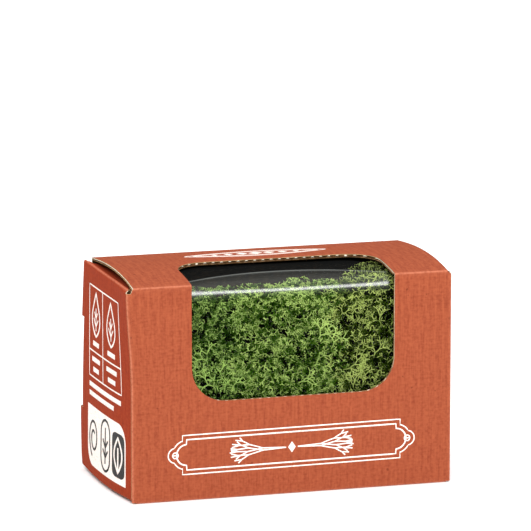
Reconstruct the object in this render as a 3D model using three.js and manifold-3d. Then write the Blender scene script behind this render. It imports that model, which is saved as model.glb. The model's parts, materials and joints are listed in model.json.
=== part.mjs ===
// A carton of reindeer moss: cushions of forked lichen behind the clear window of a fluted-board box.
// Millimetres, +X right along the front, +Y to the back, +Z up, origin at the middle of the base.
import * as THREE from "three";
import { mergeVertices } from "three/addons/utils/BufferGeometryUtils.js";
import Module from "manifold-3d";

const wasm = await Module();
wasm.setup();

// Carton
const BOARD = 1.4; // fluted board, face to face
const PANEL_WIDTH = 127.4; // top, back and bottom panels, along X
const FRONT_WIDTH = 130.8; // front panel, from side crease to side crease
const DEPTH = 65;
const HEIGHT = 85.5; // to the front and back creases of the top panel
const DOME = 2.4; // how far the top panel bows up between those creases
const DOME_LEAN = 0.2; // moves the bow's peak towards the front
const CREASE = 1; // bevel along each outer crease
const NOTCH = 1.3; // cut above and below the front panel's side creases
const GLUE_TAB = 12.5; // tab glued up the inside of the back panel
const GAP = 0.3; // clearance between pieces that touch
const WELD = 1e-4; // corners closer than this are one

// Window, cut through the front panel and over the front crease into the top panel
const WINDOW_HALF = 41.2;
const WINDOW_SILL = 39;
const WINDOW_BACK = -0.9;
const WINDOW_CORNER = 13.5;

// End flaps: a panel each, with its top, bottom and back flanges folded in
const SPLAY = THREE.MathUtils.degToRad(2.2); // a closed end still stands this far open
const END_LENGTH = 65; // from the side crease to the shoulders at the back
const END_BOTTOM = 0.6;
const END_TOP = 84.2;
const SHOULDER_CUT = 2.2; // corners cut off the shoulders
const DUST = { reach: 15, taper: 3.5, near: 2.8, far: 60.7 }; // top and bottom flanges
const TUCK = { reach: 16, taper: 4.5, fold: 62.9, low: 22, high: 60 }; // back flange
const TUCK_TILT = THREE.MathUtils.degToRad(8); // keeps the back flange clear of the back panel's swing

// Film behind the window, bent round inside the front crease
const FILM = 0.35;
const FILM_HALF = 47;
const FILM_FOOT = 33;
const FILM_BACK = 6;
const FILM_BEND = 11;

// Moss: every face of a cushion's core rises into a sprig, a short stem that forks into pointed arms
const REACH = new THREE.Vector3(2.4, 5.2, 5.4); // from a core to its furthest tips, less between cushions
const CORE_DETAIL = 3;
const CORE_SQUARENESS = 7; // 2 is an ellipsoid, more is boxier
const CORE_WAVES = new THREE.Vector3(4, 5, 4); // radians over half the core, along each axis
const CORE_LUMPS = 0.05; // of its size, by those waves
const CORE_JITTER = 0.08; // of its size, each corner of the core by itself
const STEM = { least: 0.1, most: 1.5, radius: 0.65 };
const STEM_ROOM = 0.5; // a stem's radius is at most this share of its room
const ARM = { least: 4.2, most: 6.4, radius: 0.45 };
const STEM_ABOVE = 2.4; // from a fork to the next
const SPREAD = { least: 0.35, most: 0.85 }; // radians, from a stem to its arm
const TWICE_FORKED = 0.15; // share of the arms that fork again
const TIP_CLEAR = 0.2;
const SHORTEST = 0.2; // share of its length to which an arm is drawn in
const OFF_FACE = 2; // how much more a sprig follows its face's normal than the line from the centre

// What the moss keeps off
const FLANGE_SEAT = 3.4; // it lies on the end flaps' lower flanges
const TUCK_CLEAR = 25.2; // and in front of the sweep of their back flanges
const FILM_CLEAR = 0.7;

const FRONT = -DEPTH / 2;
const BACK = DEPTH / 2;
const INNER_FRONT = FRONT + BOARD;
const INNER_BACK = BACK - BOARD;
const SIDE_CREASE = FRONT_WIDTH / 2;
const MITRE = GAP / Math.SQRT2;

// The cushions fill the carton side by side, from low to high corner. A tuft rises from the top of two.
const MOSS_FRONT = INNER_FRONT + GAP + FILM + 0.3;
const MOSS_FLOOR = BOARD + 0.2;
const MOSS_TOP = 78.5;

function cushion(x, y, z, tuft = { x: 0, y: 0, rise: 0, width: 1 }) {
  return { low: new THREE.Vector3(x[0], y[0], z[0]), high: new THREE.Vector3(x[1], y[1], z[1]), tuft };
}

const CUSHIONS = {
  moss_left: cushion([-61, -21], [MOSS_FRONT, TUCK_CLEAR], [FLANGE_SEAT, MOSS_TOP]),
  moss_middle: cushion([-21, 20], [MOSS_FRONT, 28.5], [MOSS_FLOOR, MOSS_TOP], {
    x: 4,
    y: -17,
    rise: 4,
    width: 6,
  }),
  moss_right: cushion([20, 61], [MOSS_FRONT, TUCK_CLEAR], [FLANGE_SEAT, MOSS_TOP], {
    x: 38,
    y: -13,
    rise: 4.7,
    width: 9,
  }),
};

const board = { color: 0xc55f41, roughness: 0.85, metalness: 0 };
const MATERIALS = {
  front: new THREE.MeshStandardMaterial(board),
  end: new THREE.MeshStandardMaterial({ ...board, color: 0xac4b30 }),
  film: new THREE.MeshPhysicalMaterial({ color: 0xf4f7f7, roughness: 0.05, transmission: 0.95 }),
  mossFine: new THREE.MeshStandardMaterial({ color: 0x55802c, roughness: 0.95, metalness: 0 }),
  mossPale: new THREE.MeshStandardMaterial({ color: 0x86a04e, roughness: 0.95, metalness: 0 }),
};

const X = new THREE.Vector3(1, 0, 0);
const Y = new THREE.Vector3(0, 1, 0);
const Z = new THREE.Vector3(0, 0, 1);
const ALONG_X = new THREE.Matrix4().makeBasis(Y, Z, X); // outline in Y and Z
const ALONG_Z = new THREE.Matrix4(); // outline in X and Y
const TOWARDS_FRONT = new THREE.Matrix4().makeBasis(X, Z, Y.clone().negate()); // outline in X and Z

// Closed solids for joining and cutting

function solidOf(geometry) {
  for (const name of Object.keys(geometry.attributes)) {
    if (name !== "position") geometry.deleteAttribute(name);
  }
  const merged = mergeVertices(geometry, WELD);
  return new wasm.Manifold(
    new wasm.Mesh({
      numProp: 3,
      vertProperties: merged.attributes.position.array,
      triVerts: new Uint32Array(merged.index.array),
    }),
  );
}

function meshOf(name, solid, material) {
  const { vertProperties, triVerts } = solid.getMesh();
  const indexed = new THREE.BufferGeometry();
  indexed.setAttribute("position", new THREE.BufferAttribute(vertProperties, 3));
  indexed.setIndex(new THREE.BufferAttribute(triVerts, 1));
  const geometry = indexed.toNonIndexed();
  geometry.computeVertexNormals();
  const mesh = new THREE.Mesh(geometry, material);
  mesh.name = name;
  return mesh;
}

const at = (x, y) => new THREE.Vector2(x, y);

// An outline extruded from one depth to another, then turned and placed by a matrix.
function extruded(outline, from, to, placement) {
  const shape = outline instanceof THREE.Shape ? outline : new THREE.Shape(outline);
  const options = { depth: to - from, bevelEnabled: false, curveSegments: 6 };
  const geometry = new THREE.ExtrudeGeometry(shape, options);
  geometry.translate(0, 0, from);
  geometry.applyMatrix4(placement);
  return solidOf(geometry);
}

// Sleeve: the front, top, back and bottom panels, folded from one sheet and glued

function topHeight(y) {
  const t = y / BACK;
  return HEIGHT + DOME * (1 - t * t) * (1 - DOME_LEAN * t);
}

// The bowed top panel's section at a depth below its outer face, from back to front.
function domeLine(halfDepth, below) {
  const steps = 10;
  return Array.from({ length: steps + 1 }, (_, i) => {
    const y = halfDepth * (1 - (2 * i) / steps);
    return at(y, topHeight(y) - below);
  });
}

function panelRing() {
  const outline = new THREE.Shape([
    at(FRONT, CREASE),
    at(FRONT + CREASE, 0),
    at(BACK - CREASE, 0),
    at(BACK, CREASE),
    at(BACK, HEIGHT - CREASE),
    ...domeLine(BACK - CREASE, 0),
    at(FRONT, HEIGHT - CREASE),
  ]);
  const inside = new THREE.Path([
    at(INNER_FRONT, BOARD),
    at(INNER_BACK - BOARD, BOARD),
    at(INNER_BACK - BOARD, GLUE_TAB),
    at(INNER_BACK, GLUE_TAB + BOARD),
    ...domeLine(INNER_BACK, BOARD),
  ]);
  outline.holes.push(inside);
  return extruded(outline, -PANEL_WIDTH / 2, PANEL_WIDTH / 2, ALONG_X);
}

// The front panel's margin out to one side crease, mitred for the fold.
function frontMargin(side) {
  const root = PANEL_WIDTH / 2 - 1;
  const tip = SIDE_CREASE - MITRE;
  const outline = [
    at(side * root, FRONT),
    at(side * tip, FRONT),
    at(side * (tip - BOARD), INNER_FRONT),
    at(side * root, INNER_FRONT),
  ];
  return extruded(outline, NOTCH, HEIGHT - NOTCH, ALONG_Z);
}

// The window's outline on one panel: square at the crease, round where it ends.
function windowOutline(round, square) {
  const s = Math.sign(square - round);
  const r = WINDOW_CORNER;
  const centre = WINDOW_HALF - r;
  const shape = new THREE.Shape();
  shape.moveTo(-WINDOW_HALF, square);
  shape.lineTo(-WINDOW_HALF, round + s * r);
  shape.absarc(-centre, round + s * r, r, Math.PI, Math.PI + (s * Math.PI) / 2, s < 0);
  shape.absarc(centre, round + s * r, r, (-s * Math.PI) / 2, 0, s < 0);
  shape.lineTo(WINDOW_HALF, square);
  return shape;
}

function windowCut() {
  const past = 8;
  const onFront = windowOutline(WINDOW_SILL, HEIGHT + past);
  const onTop = windowOutline(WINDOW_BACK, FRONT - past);
  const frontCut = extruded(onFront, -INNER_FRONT - 1, -FRONT + past, TOWARDS_FRONT);
  return frontCut.add(extruded(onTop, HEIGHT - past, HEIGHT + past, ALONG_Z));
}

function sleeve() {
  return panelRing().add(frontMargin(1)).add(frontMargin(-1)).subtract(windowCut());
}

// End flap, in the frame of its own side crease: +Y along the panel, +X into the carton

function endPanel() {
  const section = [
    at(0, MITRE),
    at(BOARD, BOARD + MITRE),
    at(BOARD, END_LENGTH),
    at(0, END_LENGTH),
  ];
  return extruded(section, END_BOTTOM, END_TOP, ALONG_Z);
}

// What is cut off the panel's back edge: the room of the back fold, and the shoulders' corners.
function endPanelCuts() {
  const past = END_LENGTH + 1;
  const fold = [at(TUCK.fold, TUCK.low), at(past, TUCK.low), at(past, TUCK.high), at(TUCK.fold, TUCK.high)];
  const corner = (z, up) => [
    at(END_LENGTH - SHOULDER_CUT, z),
    at(past, z),
    at(past, z + up * (SHOULDER_CUT + 1)),
  ];
  return [fold, corner(END_BOTTOM, 1), corner(END_TOP, -1)].map((outline) =>
    extruded(outline, -1, BOARD + 1, ALONG_X),
  );
}

function dustFlange(z) {
  const outline = [
    at(BOARD / 2, DUST.near),
    at(DUST.reach, DUST.near + DUST.taper),
    at(DUST.reach, DUST.far - DUST.taper),
    at(BOARD / 2, DUST.far),
  ];
  return extruded(outline, z, z + BOARD, ALONG_Z);
}

function tuckFlange() {
  const outline = [
    at(0, TUCK.low + GAP),
    at(TUCK.reach, TUCK.low + TUCK.taper),
    at(TUCK.reach, TUCK.high - TUCK.taper),
    at(0, TUCK.high - GAP),
  ];
  const placement = new THREE.Matrix4()
    .makeTranslation(0, TUCK.fold, 0)
    .multiply(new THREE.Matrix4().makeRotationZ(-TUCK_TILT))
    .multiply(TOWARDS_FRONT);
  return extruded(outline, 0, BOARD, placement);
}

function endFlap() {
  const panel = endPanelCuts().reduce((rest, cut) => rest.subtract(cut), endPanel());
  const topSeat = END_TOP - BOARD - 0.4;
  return panel
    .add(dustFlange(topSeat))
    .add(dustFlange(BOARD + GAP))
    .add(tuckFlange());
}

// Film: one bent sheet, from its glued foot up the front, round the bend and back under the top panel

const bendY = INNER_FRONT + GAP + FILM_BEND;
const bendZ = topHeight(bendY) - BOARD - GAP - FILM_BEND;

function filmLine(inset) {
  const line = [at(INNER_FRONT + GAP + inset, FILM_FOOT)];
  const radius = FILM_BEND - inset;
  const bendSteps = 8;
  for (let i = 0; i <= bendSteps; i++) {
    const a = Math.PI - (i / bendSteps) * (Math.PI / 2);
    line.push(at(bendY + radius * Math.cos(a), bendZ + radius * Math.sin(a)));
  }
  const flatSteps = 5;
  for (let i = 1; i <= flatSteps; i++) {
    const y = bendY + (i / flatSteps) * (FILM_BACK - bendY);
    line.push(at(y, topHeight(y) - BOARD - GAP - inset));
  }
  return line;
}

function film() {
  const outline = [...filmLine(0), ...filmLine(FILM).reverse()];
  return extruded(outline, -FILM_HALF, FILM_HALF, ALONG_X);
}

// Moss

// A repeatable stream of numbers from 0 to 1.
function randomStream(seed) {
  let state = seed * 2654435761;
  return () => {
    state = (state + 0x6d2b79f5) | 0;
    let t = Math.imul(state ^ (state >>> 15), state | 1);
    t ^= t + Math.imul(t ^ (t >>> 7), t | 61);
    return ((t ^ (t >>> 14)) >>> 0) / 4294967296;
  };
}

// A cushion's core: a boxy, lumpy ball, smaller than the cushion by the reach of its sprigs.
function cushionCore({ low, high, tuft }, random) {
  const centre = low.clone().add(high).multiplyScalar(0.5);
  const half = high.clone().sub(low).multiplyScalar(0.5).sub(REACH);
  const phase = [random(), random(), random()].map((r) => r * Math.PI * 2);
  const ball = new THREE.IcosahedronGeometry(1, CORE_DETAIL);
  for (const name of ["normal", "uv"]) ball.deleteAttribute(name);
  const core = mergeVertices(ball, WELD);
  const place = core.attributes.position;
  const p = new THREE.Vector3();
  for (let i = 0; i < place.count; i++) {
    p.fromBufferAttribute(place, i);
    p.add(new THREE.Vector3(random() - 0.5, random() - 0.5, random() - 0.5).multiplyScalar(CORE_JITTER));
    const power = [...p].reduce((sum, c) => sum + Math.abs(c) ** CORE_SQUARENESS, 0);
    const waves = [...p.clone().multiply(CORE_WAVES)].reduce((sum, c, k) => sum + Math.sin(c + phase[k]), 0);
    const sunk = CORE_LUMPS * (0.5 - waves / 3) + CORE_JITTER * (0.8 - random());
    const upward = Math.max(p.z, 0);
    p.multiplyScalar((1 - sunk) / power ** (1 / CORE_SQUARENESS));
    p.multiply(half).add(centre);
    const fromTuft = Math.hypot(p.x - tuft.x, p.y - tuft.y) / tuft.width;
    p.z += tuft.rise * upward * Math.exp(-(fromTuft ** 2) / 2);
    place.setXYZ(i, p.x, p.y, p.z);
  }
  return core;
}

const mixed = (from, direction, length) => from.clone().addScaledVector(direction, length);

// A cushion's surface: its core's faces, each drawn up into a sprig. A sprig stays within the planes
// from the cushion's centre through the edges of its face, so that no two of them cross.
class CushionSurface {
  constructor(bounds, random) {
    const { low, high, tuft } = bounds;
    this.random = random;
    this.centre = low.clone().add(high).multiplyScalar(0.5);
    this.box = new THREE.Box3(low, high.clone().setZ(high.z + tuft.rise)).expandByScalar(-TIP_CLEAR);
    const core = cushionCore(bounds, random);
    this.points = [...core.attributes.position.array];
    this.faces = [];
    for (let i = 0; i < core.index.count; i += 3) {
      const first = Math.floor(random() * 3);
      this.raise([0, 1, 2].map((k) => core.index.getX(i + ((first + k) % 3))));
    }
  }

  between({ least, most }) {
    return least + (most - least) * this.random();
  }

  point(index) {
    return new THREE.Vector3().fromArray(this.points, index * 3);
  }

  add(p) {
    this.points.push(...p);
    return this.points.length / 3 - 1;
  }

  // Where a stretch of branch ends, drawn short where it would leave its room by less than a margin.
  reached(from, way, length, margin) {
    const to = mixed(from, way, length);
    const fits = () => {
      const out = to.clone().sub(this.centre);
      const fromBend = at(Math.min(to.y - bendY, 0), Math.max(to.z - bendZ, 0));
      return (
        this.walls.every((wall) => wall.dot(out) > margin) &&
        this.box.distanceToPoint(to) === 0 &&
        fromBend.length() < FILM_BEND - FILM_CLEAR
      );
    };
    for (let share = 1; share >= SHORTEST && !fits(); share -= 0.1) to.copy(mixed(from, way, length * share));
    return to;
  }

  // Four points round an axis, in turn from the direction across it.
  ring(centre, axis, across, radius) {
    const aside = axis.clone().cross(across);
    return [mixed(centre, across, radius), mixed(centre, aside, radius)]
      .concat([mixed(centre, across, -radius), mixed(centre, aside, -radius)])
      .map((p) => this.add(p));
  }

  // Draws a face of the core up into a stem, and forks it.
  raise(corners) {
    const [a, b, c] = corners.map((index) => this.point(index));
    const out = [a, b, c].map((p) => p.clone().sub(this.centre));
    this.walls = out.map((p, i) => p.clone().cross(out[(i + 1) % 3]).normalize());
    const face = new THREE.Triangle(a, b, c);
    const middle = face.getMidpoint(new THREE.Vector3());
    const radial = middle.clone().sub(this.centre).normalize();
    const axis = mixed(radial, face.getNormal(new THREE.Vector3()), OFF_FACE).normalize();
    const across = a.clone().sub(middle).projectOnPlane(axis).normalize();
    const room = Math.min(...this.walls.map((wall) => wall.dot(middle.clone().sub(this.centre))));
    const centre = this.reached(middle, axis, this.between(STEM), 0);
    this.fork(corners, centre, axis, across, Math.min(STEM.radius, STEM_ROOM * room), false);
  }

  // A fork over three points. Each of its arms is a pointed tip, or forks again where it has room to.
  fork([a, b, c], centre, axis, across, radius, forked) {
    const [q, f, p, k] = this.ring(centre, axis, across, radius);
    this.faces.push(a, b, f, a, f, q, b, c, p, b, p, f, c, a, k, a, q, k, c, k, p);
    for (const [side, half] of [[1, [k, q, f]], [-1, [f, p, k]]]) {
      const turn = side * this.between(SPREAD);
      const way = mixed(axis.clone().multiplyScalar(Math.cos(turn)), across, Math.sin(turn));
      const end = this.reached(centre, way, STEM_ABOVE, ARM.radius + TIP_CLEAR);
      const hasRoom = end.distanceTo(centre) > STEM_ABOVE - WELD;
      if (!forked && hasRoom && this.random() < TWICE_FORKED) {
        this.fork(half, end, way, axis.clone().cross(across).multiplyScalar(-side), ARM.radius, true);
      } else {
        const tip = this.add(this.reached(centre, way, this.between(ARM), TIP_CLEAR));
        this.faces.push(half[0], half[1], tip, half[1], half[2], tip, half[2], half[0], tip);
      }
    }
  }

  solid() {
    const geometry = new THREE.BufferGeometry();
    geometry.setAttribute("position", new THREE.Float32BufferAttribute(this.points, 3));
    geometry.setIndex(this.faces);
    return solidOf(geometry);
  }
}

// Assembly

const carton = new THREE.Group();
carton.add(meshOf("carton_sleeve", sleeve(), MATERIALS.front));
for (const [name, side] of [["end_flap_left", -1], ["end_flap_right", 1]]) {
  const hung = new THREE.Group();
  hung.position.set(side * SIDE_CREASE, FRONT, 0);
  hung.rotation.z = -side * SPLAY;
  hung.scale.x = -side;
  hung.add(meshOf(name, endFlap(), MATERIALS.end));
  carton.add(hung);
}
carton.add(meshOf("window_film", film(), MATERIALS.film));

const moss = new THREE.Group();
Object.entries(CUSHIONS).forEach(([name, bounds], i) => {
  const material = name === "moss_right" ? MATERIALS.mossPale : MATERIALS.mossFine;
  moss.add(meshOf(name, new CushionSurface(bounds, randomStream(i + 1)).solid(), material));
});

const whole = new THREE.Group();
whole.add(carton, moss);

export default whole;
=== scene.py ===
"""Reindeer moss in a window carton: folded board, printed lines, a bent film and forked lichen."""

from __future__ import annotations

import json
import logging
import math
import random
from dataclasses import dataclass, replace
from enum import Enum
from typing import Callable, ClassVar, Sequence

import bmesh
import bpy
import numpy as np
from bpy.types import ID, Material, Mesh, Node, NodeSocket, NodeTree, Object
from mathutils import Matrix, Vector, noise

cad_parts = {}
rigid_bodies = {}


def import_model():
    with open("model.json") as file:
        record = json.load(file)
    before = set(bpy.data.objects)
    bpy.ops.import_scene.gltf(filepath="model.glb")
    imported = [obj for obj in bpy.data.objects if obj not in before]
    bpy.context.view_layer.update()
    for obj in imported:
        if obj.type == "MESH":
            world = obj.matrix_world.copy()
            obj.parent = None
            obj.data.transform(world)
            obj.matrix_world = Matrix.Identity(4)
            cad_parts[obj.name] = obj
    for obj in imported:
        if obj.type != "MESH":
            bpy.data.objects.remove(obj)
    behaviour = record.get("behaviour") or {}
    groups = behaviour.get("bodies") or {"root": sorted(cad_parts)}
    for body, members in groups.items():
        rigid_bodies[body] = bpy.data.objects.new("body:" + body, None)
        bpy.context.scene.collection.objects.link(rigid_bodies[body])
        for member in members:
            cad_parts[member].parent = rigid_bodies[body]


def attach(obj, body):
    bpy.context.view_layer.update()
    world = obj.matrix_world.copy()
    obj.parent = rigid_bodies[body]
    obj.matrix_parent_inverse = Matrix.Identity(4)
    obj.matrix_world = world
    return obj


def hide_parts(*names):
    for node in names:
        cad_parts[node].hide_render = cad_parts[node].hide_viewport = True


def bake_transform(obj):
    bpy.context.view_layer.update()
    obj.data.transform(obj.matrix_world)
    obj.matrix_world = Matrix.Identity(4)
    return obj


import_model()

LOG = logging.getLogger("moss_carton")
MM = 0.001
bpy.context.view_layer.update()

SHEET_UV = "sheet"
CREASE = "crease"
ACROSS = "across"
OUTWARD = "outward"
TIP = "tip"
SHADE = "shade"
DENSITY = "density"
PAINTED_DEPTH_SHADE = "raised"
PAINTED_HAZE = "milky"

Colour = tuple[float, float, float, float]
Flat = tuple[float, float]
Solid = tuple[float, float, float]
Face = tuple[int, ...]


def srgb(red: int, green: int, blue: int) -> Colour:
    """Turns a colour as a screen shows it, 0 to 255, into the linear one that shaders take.

    Args:
        red: The red share.
        green: The green share.
        blue: The blue share.

    Returns:
        The linear colour with full alpha.
    """
    def linear(value: int) -> float:
        """One channel's linear value."""
        share = value / 255
        return share / 12.92 if share <= 0.04045 else ((share + 0.055) / 1.055) ** 2.4

    return linear(red), linear(green), linear(blue), 1.0


def clamped(share: float) -> float:
    """A number held between 0 and 1."""
    return min(max(share, 0), 1)


class Body(Enum):
    """The carton's moving bodies."""

    CARTON = "carton"
    END_LEFT = "end_left"
    END_RIGHT = "end_right"


class Slot(Enum):
    """The record's material slots."""

    BOARD = "board"
    FILM = "film"
    MOSS = "moss"


class Side(Enum):
    """The carton's two ends, by the sign of X."""

    LEFT = -1
    RIGHT = 1

    @property
    def word(self) -> str:
        """The side's name in lower case."""
        return self.name.lower()

    @property
    def body(self) -> Body:
        """The body that this side's end flap moves with."""
        return Body.END_LEFT if self is Side.LEFT else Body.END_RIGHT


class NodeMaker:
    """Builds a node tree one node at a time."""

    def __init__(self, tree: NodeTree) -> None:
        """Empties a tree to build in."""
        self.tree = tree
        tree.nodes.clear()

    def feed(self, socket: NodeSocket, value: object) -> None:
        """Gives an input socket its link or its own value.

        Args:
            socket: The input socket.
            value: An output socket to link, or a plain value.
        """
        if isinstance(value, NodeSocket):
            self.tree.links.new(value, socket)
        else:
            socket.default_value = value

    def node(self, kind: str, inputs: dict[str | int, object] | None = None, **settings: object) -> Node:
        """Adds a node, with its settings first, because they decide its inputs.

        Args:
            kind: The node's type, such as ShaderNodeMath.
            inputs: A value or an output socket for each named or numbered input.
            **settings: The node's own settings.

        Returns:
            The new node.
        """
        node = self.tree.nodes.new(kind)
        for name, value in settings.items():
            setattr(node, name, value)
        for key, value in (inputs or {}).items():
            self.feed(node.inputs[key], value)
        return node

    def math(self, operation: str, first: object, second: object = 0.0) -> NodeSocket:
        """Works out one sum of two numbers or sockets."""
        return self.node("ShaderNodeMath", {0: first, 1: second}, operation=operation).outputs[0]

    def times(self, first: object, second: object) -> NodeSocket:
        """The product of two numbers or sockets."""
        return self.math("MULTIPLY", first, second)

    def plus(self, first: object, second: object, factor: float | None = None) -> NodeSocket:
        """The sum of two numbers or sockets, the second times a factor where one is given."""
        return self.math("ADD", first, second if factor is None else self.times(second, factor))

    def spread(self, value: object, low: float, high: float, to: Flat = (0.0, 1.0)) -> NodeSocket:
        """Spreads the stretch from low to high over another, smoothly."""
        inputs = {"Value": value, "From Min": low, "From Max": high, "To Min": to[0], "To Max": to[1]}
        return self.node("ShaderNodeMapRange", inputs, interpolation_type="SMOOTHSTEP").outputs[0]


class Shader(NodeMaker):
    """A material whose nodes are made one by one."""

    def __init__(self, name: str) -> None:
        """Starts an empty material.

        Args:
            name: Its name.
        """
        self.material = bpy.data.materials.new(name)
        self.material.use_nodes = True
        super().__init__(self.material.node_tree)

    @property
    def place(self) -> NodeSocket:
        """The object's own coordinates."""
        return self.node("ShaderNodeTexCoord").outputs["Object"]

    def attribute(self, name: str) -> NodeSocket:
        """The factor output of a mesh attribute."""
        return self.node("ShaderNodeAttribute", attribute_name=name).outputs["Fac"]

    def grain(self, where: object, scale: Solid, detail: float = 2.0) -> NodeSocket:
        """Noise stretched to a scale along each axis, about 0 to 1.

        Args:
            where: The socket of the coordinates.
            scale: How many grains a metre has along each axis.
            detail: The noise's detail.

        Returns:
            The noise's factor.
        """
        placed = self.node("ShaderNodeMapping", {"Vector": where, "Scale": scale})
        inputs = {"Vector": placed.outputs[0], "Scale": 1.0, "Detail": detail}
        return self.node("ShaderNodeTexNoise", inputs).outputs["Fac"]

    def mixed(self, share: object, first: object, second: object) -> NodeSocket:
        """Mixes two colours.

        Args:
            share: How much of the second, a number or a socket.
            first: The first colour or socket.
            second: The second colour or socket.

        Returns:
            The mixed colour's socket.
        """
        node = self.node("ShaderNodeMix", data_type="RGBA")
        for name, value in (("Factor", share), ("A", first), ("B", second)):
            kinds = ("RGBA", "VALUE")
            socket = next(s for s in node.inputs if s.name == name and s.type in kinds and s.enabled)
            self.feed(socket, value)
        return next(s for s in node.outputs if s.enabled)

    def bump(self, height: object, strength: float, distance: float) -> NodeSocket:
        """The normal of a bumpy surface."""
        inputs = {"Height": height, "Strength": strength, "Distance": distance}
        return self.node("ShaderNodeBump", inputs).outputs[0]

    def surface(self, shader: Node) -> Material:
        """Ends the material in a shader node and returns it."""
        self.node("ShaderNodeOutputMaterial", {"Surface": shader.outputs[0]})
        return self.material

    def coated(self, colour: object, roughness: float, **inputs: object) -> Material:
        """Ends the material in a Principled shader and returns it.

        Args:
            colour: The base colour or its socket.
            roughness: The roughness.
            **inputs: Values for other inputs, with an underscore for each space in their names.

        Returns:
            The material.
        """
        inputs = {name.replace("_", " "): value for name, value in inputs.items()}
        inputs = {"Base Color": colour, "Roughness": roughness, **inputs}
        return self.surface(self.node("ShaderNodeBsdfPrincipled", inputs))


@dataclass(frozen=True)
class BoardMake:
    """E-flute board: two liners and a wave between them."""

    thickness: float = 1.4 * MM
    liner: float = 0.25 * MM
    wave: float = 0.28 * MM
    pitch: float = 3.4 * MM

    @property
    def wave_depth(self) -> float:
        """How deep the wave's middle lies under the outer face."""
        return self.thickness / 2

    @property
    def swing(self) -> float:
        """How far the wave's middle swings to each side."""
        return (self.thickness - 2 * self.liner - self.wave) / 2


BOARD = BoardMake()


@dataclass(frozen=True)
class PrintedBoardFinish:
    """The board's outer liner: a matt print with a fine linen grain, paler where it is creased, partly as
    cracked print and partly as a painted highlight on the rounded creases.
    """

    name: str = "printed_liner"
    ink: Colour = srgb(163, 84, 55)
    deep: Colour = srgb(135, 62, 41)
    worn: Colour = srgb(194, 118, 90)
    speck: Colour = srgb(96, 42, 28)
    threads: Solid = (1300, 130, 1)
    weft: Solid = (260, 1500, 1)
    mottle: Solid = (850, 850, 1)
    specks: Solid = (520, 460, 1)
    ridge: float = 0.14
    wear: float = 0.42

    def build(self) -> Material:
        """Builds the material.

        Returns:
            The material.
        """
        shader = Shader(self.name)
        sheet = shader.node("ShaderNodeUVMap", uv_map=SHEET_UV).outputs[0]
        threads, weft = shader.grain(sheet, self.threads, 3), shader.grain(sheet, self.weft)
        mottle = shader.grain(sheet, self.mottle, 4)
        across = shader.node("ShaderNodeSeparateXYZ", {0: sheet}).outputs["X"]
        wave = shader.math("SINE", shader.times(across, math.tau / BOARD.pitch))
        ridges = shader.times(wave, self.ridge)
        cloth = shader.plus(shader.times(threads, 0.4), weft, 0.2)
        weave = shader.plus(cloth, mottle, 0.4)
        shade = shader.plus(weave, ridges, 0.16)
        ink = shader.mixed(shader.spread(shade, 0.3, 0.68), self.deep, self.ink)
        flecks = shader.spread(shader.grain(sheet, self.specks, 0), 0.83, 0.86)
        ink = shader.mixed(shader.times(flecks, 0.5), ink, self.speck)
        # Paler along the creases: partly the print's own cracking, partly a painted highlight where the
        # rounded crease catches the light.
        crease = shader.attribute(CREASE)
        patchy_crease_tint = shader.times(crease, shader.spread(mottle, 0.3, 0.6))
        colour = shader.mixed(shader.times(shader.plus(patchy_crease_tint, crease), self.wear), ink, self.worn)
        normal = shader.bump(shader.plus(weave, ridges, 2.0), 0.35, 0.06 * MM)
        return shader.coated(colour, 0.8, Normal=normal, Specular_IOR_Level=0.06)


@dataclass(frozen=True)
class KraftFinish:
    """Bare brown paper: the board's wave, its inner liner and its cut edges."""

    name: str
    paper: Colour
    fibre: Colour

    def build(self) -> Material:
        """Builds the material.

        Returns:
            The material.
        """
        shader = Shader(self.name)
        fibres = shader.grain(shader.place, (500, 500, 2600), 4)
        clouds = shader.grain(shader.place, (160, 160, 160))
        share = shader.spread(shader.plus(fibres, clouds, 0.5), 0.6, 0.95)
        normal = shader.bump(fibres, 0.3, 0.08 * MM)
        return shader.coated(shader.mixed(share, self.fibre, self.paper), 0.9, Normal=normal, IOR=1.0)


@dataclass(frozen=True)
class FluteFinish:
    """The wave's paper, with painted light and shade: pale on the crests under the outer liner as a painted
    highlight, and dark in the troughs as painted shade.
    """

    name: str
    crest: Colour
    trough: Colour

    def build(self) -> Material:
        """Builds the material.

        Returns:
            The material.
        """
        shader = Shader(self.name)
        wave = shader.math("SINE", shader.times(shader.attribute(ACROSS), math.tau / BOARD.pitch))
        # Painted highlight on the crests and painted shade in the troughs of one plain paper.
        colour = shader.mixed(shader.spread(wave, 0.35, 0.95), self.trough, self.crest)
        return shader.coated(colour, 0.9, IOR=1.0)


@dataclass(frozen=True)
class InkFinish:
    """A flat printed ink, thinner in places."""

    name: str
    ink: Colour
    thin: Colour

    def build(self) -> Material:
        """Builds the material.

        Returns:
            The material.
        """
        shader = Shader(self.name)
        cover = shader.spread(shader.grain(shader.place, (1500, 1500, 1500), 3), 0.3, 0.5)
        return shader.coated(shader.mixed(cover, self.thin, self.ink), 0.6, Specular_IOR_Level=0.3)


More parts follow.
